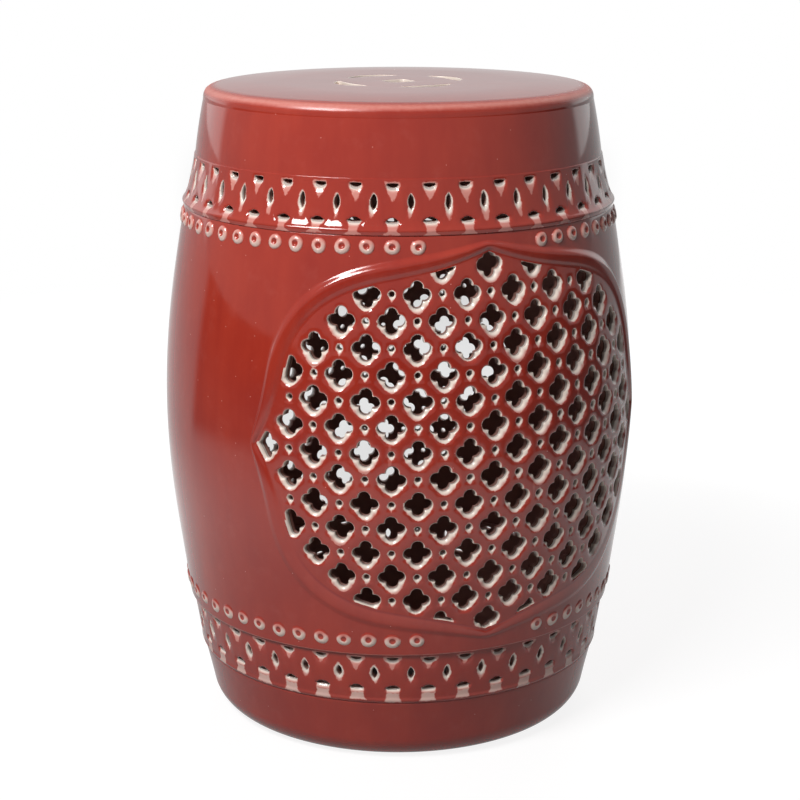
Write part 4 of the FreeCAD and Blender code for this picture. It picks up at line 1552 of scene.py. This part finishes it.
@dataclass
class Studio:
    """White paper in a dim room, three soft lamps, and the camera of the photograph.

    Seen from the stool, the camera's side of the room is dim and the far side is pale.
    """

    lens: float = 86.57
    distance: float = 1.3701
    height: float = 0.5876
    pitch: float = math.radians(14.87)
    azimuth: float = math.radians(-22.2)
    shift: float = 0.002
    floor_half: float = 30.0
    paper: float = 0.35
    paper_radius: float = 0.87
    near_share: float = 0.5
    near_glow: float = 1.74
    mirrored_glow: float = 1.6
    far_floor: float = 1.15
    # Share of the mirrored glow left by the foot: painted shade.
    beyond_floor: float = 0.15
    foot_dimness: float = 0.45
    room: float = 0.5
    side_room: float = 1.4
    back_room: float = 0.68
    room_azimuth: float = math.radians(-21.0)
    far_turn: float = math.radians(120.0)
    floor_turn: float = math.radians(112.0)
    far_blur: float = math.radians(3.5)
    ambient: float = 0.05
    mouth: float = 0.11
    hidden_ratio: float = 0.12
    hidden_reach: Pair = (0.15, 2.0)
    # Share of the glow kept in the painted shade behind the stool.
    hidden_dimness: float = 0.66
    hidden_blur: float = 0.7
    hidden_fades: Pair = (3.0, 1.8)
    mouth_blur: float = 0.01
    foot_fade: Pair = (0.18, 0.5)
    sheet_edge: float = 0.72
    sheet_blur: Pair = (0.08, 0.16)
    seen_fade: Pair = (0.4, 1.6)
    back_cosines: Pair = (-0.98, -0.75)
    lamp_aim: float = 0.23
    sensor: float = 36.0
    least_length: float = 0.001

    def build(self) -> None:
        """Make the floor, the world, the camera and the lamps: one lights, one glints, one fills the back."""
        self.floor()
        self.world()
        key = self.lamp("key", azimuth=-53, elevation=45, distance=1.9, size=(0.75, 0.55), power=34)
        key.visible_glossy = False
        glint = self.lamp("glint", azimuth=-72, elevation=45, distance=1.9, size=(0.75, 0.55), power=34)
        glint.visible_diffuse = False
        fill = self.lamp("fill", azimuth=148, elevation=12, distance=2.2, size=(1.4, 1.1), power=42)
        fill.visible_glossy = False
        self.camera()

    def seen(self, n: Nodes) -> Socket:
        """1 for rays of the camera and rays through glass, else 0."""
        rays = n.add("ShaderNodeLightPath").outputs
        return n.math("MAXIMUM", rays["Is Camera Ray"], rays["Is Transmission Ray"])

    def away(self, n: Nodes, direction: Socket) -> Socket:
        """Cosine of the turn between a direction and the dim side of the room, about the stool."""
        parts = n.add("ShaderNodeSeparateXYZ", {"Vector": direction}).outputs
        x, y = parts["X"], parts["Y"]
        length = n.math("SQRT", n.plus(n.times(x, x), n.times(y, y)))
        along = self.dot(n, x, y, math.sin(self.room_azimuth), -math.cos(self.room_azimuth))
        return n.math("DIVIDE", along, n.math("MAXIMUM", length, self.least_length))

    def far_side(self, n: Nodes, away: Socket, turn: float) -> Socket:
        """1 on the pale far side of the room, which starts at a turn, and 0 on the dim side."""
        low, high = (math.cos(turn + blur) for blur in (self.far_blur, -self.far_blur))
        return n.between(away, low, high, 1.0, 0.0)

    def dot(self, n: Nodes, x: object, y: object, by_x: float, by_y: float) -> Socket:
        """Sum of x and y, each times its own factor."""
        return n.plus(n.times(x, by_x), n.times(y, by_y))

    def open_floor(self, n: Nodes, place: Socket, radius: Socket) -> Socket:
        """1 on the open floor, less where it only shows through the stool: a painted shade behind it, and
        inside it.
        """
        parts = n.add("ShaderNodeSeparateXYZ", {"Vector": place}).outputs
        sine, cosine = math.sin(self.azimuth), math.cos(self.azimuth)
        beside = n.math("ABSOLUTE", self.dot(n, parts["X"], parts["Y"], cosine, sine))
        behind = self.dot(n, parts["X"], parts["Y"], -sine, cosine)
        ratio = n.math("DIVIDE", beside, n.plus(behind, self.distance))
        near, far = self.hidden_reach
        # Painted shade: the glow dims in a soft wedge behind the stool, seen through its openings.
        hidden = n.between(ratio, self.hidden_blur * self.hidden_ratio, self.hidden_ratio, 1.0, 0.0)
        starts = n.between(behind, near, self.hidden_fades[0] * near)
        ends = n.between(behind, far, self.hidden_fades[1] * far, 1.0, 0.0)
        hidden = n.times(hidden, n.times(starts, ends))
        share = n.math("SUBTRACT", 1.0, n.times(hidden, 1 - self.hidden_dimness))
        return n.times(share, n.between(radius, self.mouth - self.mouth_blur, self.mouth, 0.0, 1.0))

    def floor(self) -> None:
        """White floor that keeps a faint shadow, has painted shade in reflections by the foot, and is dimmer
        in reflections away from the stool.
        """
        n = Nodes("studio_paper")
        place = n.place()
        radius = n.add("ShaderNodeVectorMath", {0: place}, operation="LENGTH").outputs["Value"]
        far = self.far_side(n, self.away(n, place), self.floor_turn)
        beyond = n.plus(self.beyond_floor, n.times(far, self.far_floor - self.beyond_floor))
        full = self.mirrored_glow
        # Painted shade: in reflections the floor dims towards the foot.
        by_foot = n.between(radius, *self.foot_fade, self.foot_dimness * full, full)
        outwards = n.between(radius, self.foot_fade[1], self.paper_radius, 1.0, self.sheet_edge)
        low, high = self.paper_radius - self.sheet_blur[0], self.paper_radius + self.sheet_blur[1]
        sheet = n.between(radius, low, high, 1.0, 0.0)
        mirrored = n.plus(n.times(sheet, n.times(by_foot, outwards)),
                          n.times(n.math("SUBTRACT", 1.0, sheet), beyond))
        seen_glow = n.between(radius, *self.seen_fade, self.near_glow, 1.0)
        seen_glow = n.times(seen_glow, self.open_floor(n, place, radius))
        seen_share = n.between(radius, *self.seen_fade, self.near_share, 1.0)
        glossy = n.add("ShaderNodeLightPath").outputs["Is Glossy Ray"]
        seen = self.seen(n)
        strength = n.plus(n.times(seen, seen_glow), n.times(glossy, mirrored))
        share = n.plus(n.times(seen, seen_share), n.times(glossy, self.near_share))
        paper = n.add("ShaderNodeBsdfDiffuse", {"Color": (self.paper, self.paper, self.paper, 1)})
        glow = n.add("ShaderNodeEmission", {"Color": (1, 1, 1, 1), "Strength": strength})
        mixed = n.add("ShaderNodeMixShader")
        n.feed(mixed.inputs[0], share)
        n.feed(mixed.inputs[1], paper.outputs[0])
        n.feed(mixed.inputs[2], glow.outputs[0])
        material = n.finish(mixed.outputs[0])
        half = self.floor_half
        mesh = bpy.data.meshes.new("studio_floor")
        corners = [(-half, -half, 0), (half, -half, 0), (half, half, 0), (-half, half, 0)]
        mesh.from_pydata(corners, [], [(0, 1, 2, 3)])
        mesh.materials.append(material)
        floor = bpy.data.objects.new("studio_floor", mesh)
        bpy.context.scene.collection.objects.link(floor)

    def world(self) -> None:
        """Studio air: white where it is seen, dim where it lights or is mirrored from the camera's side."""
        world = bpy.data.worlds.new("studio_air")
        world.use_nodes = True
        n = Nodes.of_tree(world.node_tree)
        direction = n.add("ShaderNodeTexCoord").outputs["Generated"]
        away = self.away(n, direction)
        far = self.far_side(n, away, self.far_turn)
        pale = n.between(away, *self.back_cosines, self.back_room, self.side_room)
        mirrored = n.plus(self.room, n.times(far, n.math("SUBTRACT", pale, self.room)))
        glossy = n.add("ShaderNodeLightPath").outputs["Is Glossy Ray"]
        dim = n.math("MAXIMUM", n.times(glossy, mirrored), self.ambient)
        strength = n.math("MAXIMUM", self.seen(n), dim)
        air = n.add("ShaderNodeBackground", {"Color": (1, 1, 1, 1), "Strength": strength})
        n.add("ShaderNodeOutputWorld", {"Surface": air.outputs[0]})
        bpy.context.scene.world = world

    def lamp(self, name: str, azimuth: float, elevation: float, distance: float, size: tuple[float, float],
             power: float) -> bpy.types.Object:
        """Soft rectangular lamp aimed at the middle of the stool.

        Args:
            name: Name of the lamp.
            azimuth: Degrees round the stool from the front.
            elevation: Degrees above the stool's middle.
            distance: Metres from the stool's middle.
            size: Width and height, metres.
            power: Watts.

        Returns:
            The lamp.
        """
        turn, tip = math.radians(azimuth), math.radians(elevation)
        data = bpy.data.lights.new(name, "AREA")
        data.shape = "RECTANGLE"
        data.size, data.size_y = size
        data.energy = power
        lamp = bpy.data.objects.new(name, data)
        lamp.location = (
            distance * math.cos(tip) * math.sin(turn),
            -distance * math.cos(tip) * math.cos(turn),
            self.lamp_aim + distance * math.sin(tip),
        )
        lamp.rotation_euler = (math.pi / 2 - tip, 0, turn)
        lamp.visible_camera = False
        bpy.context.scene.collection.objects.link(lamp)
        return lamp

    def camera(self) -> None:
        """Camera where the photograph was taken from."""
        data = bpy.data.cameras.new("portrait")
        data.lens = self.lens
        data.sensor_width = self.sensor
        data.shift_x = self.shift
        camera = bpy.data.objects.new("portrait", data)
        east, north = math.sin(self.azimuth), -math.cos(self.azimuth)
        camera.location = (self.distance * east, self.distance * north, self.height)
        camera.rotation_euler = (math.pi / 2 - self.pitch, 0, self.azimuth)
        bpy.context.scene.collection.objects.link(camera)
        bpy.context.scene.camera = camera


def upper_band(drum: Drum) -> PiercedBand:
    """Band between the barrel and the shoulder."""
    return PiercedBand(
        drum, "upper_pierced_band", drum.upper_band_radii, rows_rise=20.0, lip=1.5, lip_height=3.4,
        tail_top=Run((0.3, -2.5, -5.0, -9.0, -12.6), (5.2, 4.9, 3.9, 1.9, 0.2)),
        tail_lens=Run((7.0, 3.0, -2.0, -6.0, -8.0, -10.8), (0.6, 2.6, 3.1, 2.1, 1.7, 1.3)),
        tail_bottom=Run((2.4, 0.8, -1.6, -3.4, -4.4, -5.4, -6.4), (4.6, 4.2, 3.0, 2.7, 3.4, 5.2, 5.6)),
        seed=11,
    )


def lower_band(drum: Drum) -> PiercedBand:
    """Band between the foot and the barrel."""
    return PiercedBand(
        drum, "lower_pierced_band", drum.lower_band_radii, rows_rise=22.8, lip=0.5, lip_height=2.2,
        tail_top=Run((0.3, -1.5, -3.2, -4.8, -6.2, -8.0, -9.8), (6.7, 6.3, 4.9, 3.2, 2.0, 1.4, 0.7)),
        tail_lens=Run((7.2, 4.2, 0.6, -2.6, -5.6, -8.2), (0.3, 2.3, 3.4, 3.0, 1.5, 0.5)),
        tail_bottom=Run((2.4, 0.8, -1.6, -3.2, -5.0, -6.6, -8.2), (4.9, 4.9, 4.7, 4.4, 4.7, 5.4, 6.3)),
        seed=12, lens_half_length=4.3, lens_bulge=2.05, skirt_halo=0.5,
    )


def main() -> None:
    """Build the stool's pieces in order, then the studio."""
    logging.basicConfig(level=logging.INFO, format="%(message)s")
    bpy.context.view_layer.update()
    finishes = {Coat.RED_GLAZE: RedGlaze().material(), Coat.BARE_CLAY: BareClay().material()}
    drum = Drum()
    seat, foot = Seat(drum), Foot(drum)
    glaze = Coat.RED_GLAZE
    fired("glazed_seat_disc", seat.disc(), glaze, finishes, "seat_disc")
    fired("glazed_shoulder_wall", seat.shoulder(), glaze, finishes, "shoulder_wall")
    fired("glazed_foot_wall", foot.side_wall(), glaze, finishes, "foot_wall")
    fired("bare_base_ring", foot.base(), Coat.BARE_CLAY, finishes, "base_ring")
    fired("glazed_upper_band", upper_band(drum).build(), glaze, finishes, "upper_pierced_band")
    fired("glazed_lower_band", lower_band(drum).build(), glaze, finishes, "lower_pierced_band")
    medallion = Medallion(drum)
    for face in Face:
        place = face.name.lower()
        fired(f"glazed_{place}_lattice", medallion.panel(face), glaze, finishes, f"{place}_lattice_panel")
        fired(f"glazed_{place}_moulding", medallion.moulding(face), glaze, finishes, f"{place}_medallion_rim")
    barrel = Barrel(drum, medallion)
    studs = StudRow(drum)
    for side in Side:
        place = side.name.lower()
        fired(f"glazed_side_wall_{place}", barrel.build(side), glaze, finishes, f"side_wall_{place}")
        upper = studs.build(drum.z_upper_band - studs.upper_drop, side, seed=21, pooled=0.15)
        lower = studs.build(drum.z_body + studs.lower_rise, side, seed=22, pooled=1.0)
        fired(f"glazed_upper_studs_{place}", upper, glaze, finishes, f"upper_studs_{place}")
        fired(f"glazed_lower_studs_{place}", lower, glaze, finishes, f"lower_studs_{place}")
    Studio().build()
    bpy.context.scene.view_settings.view_transform = "Standard"


if __name__ == "__main__":
    main()
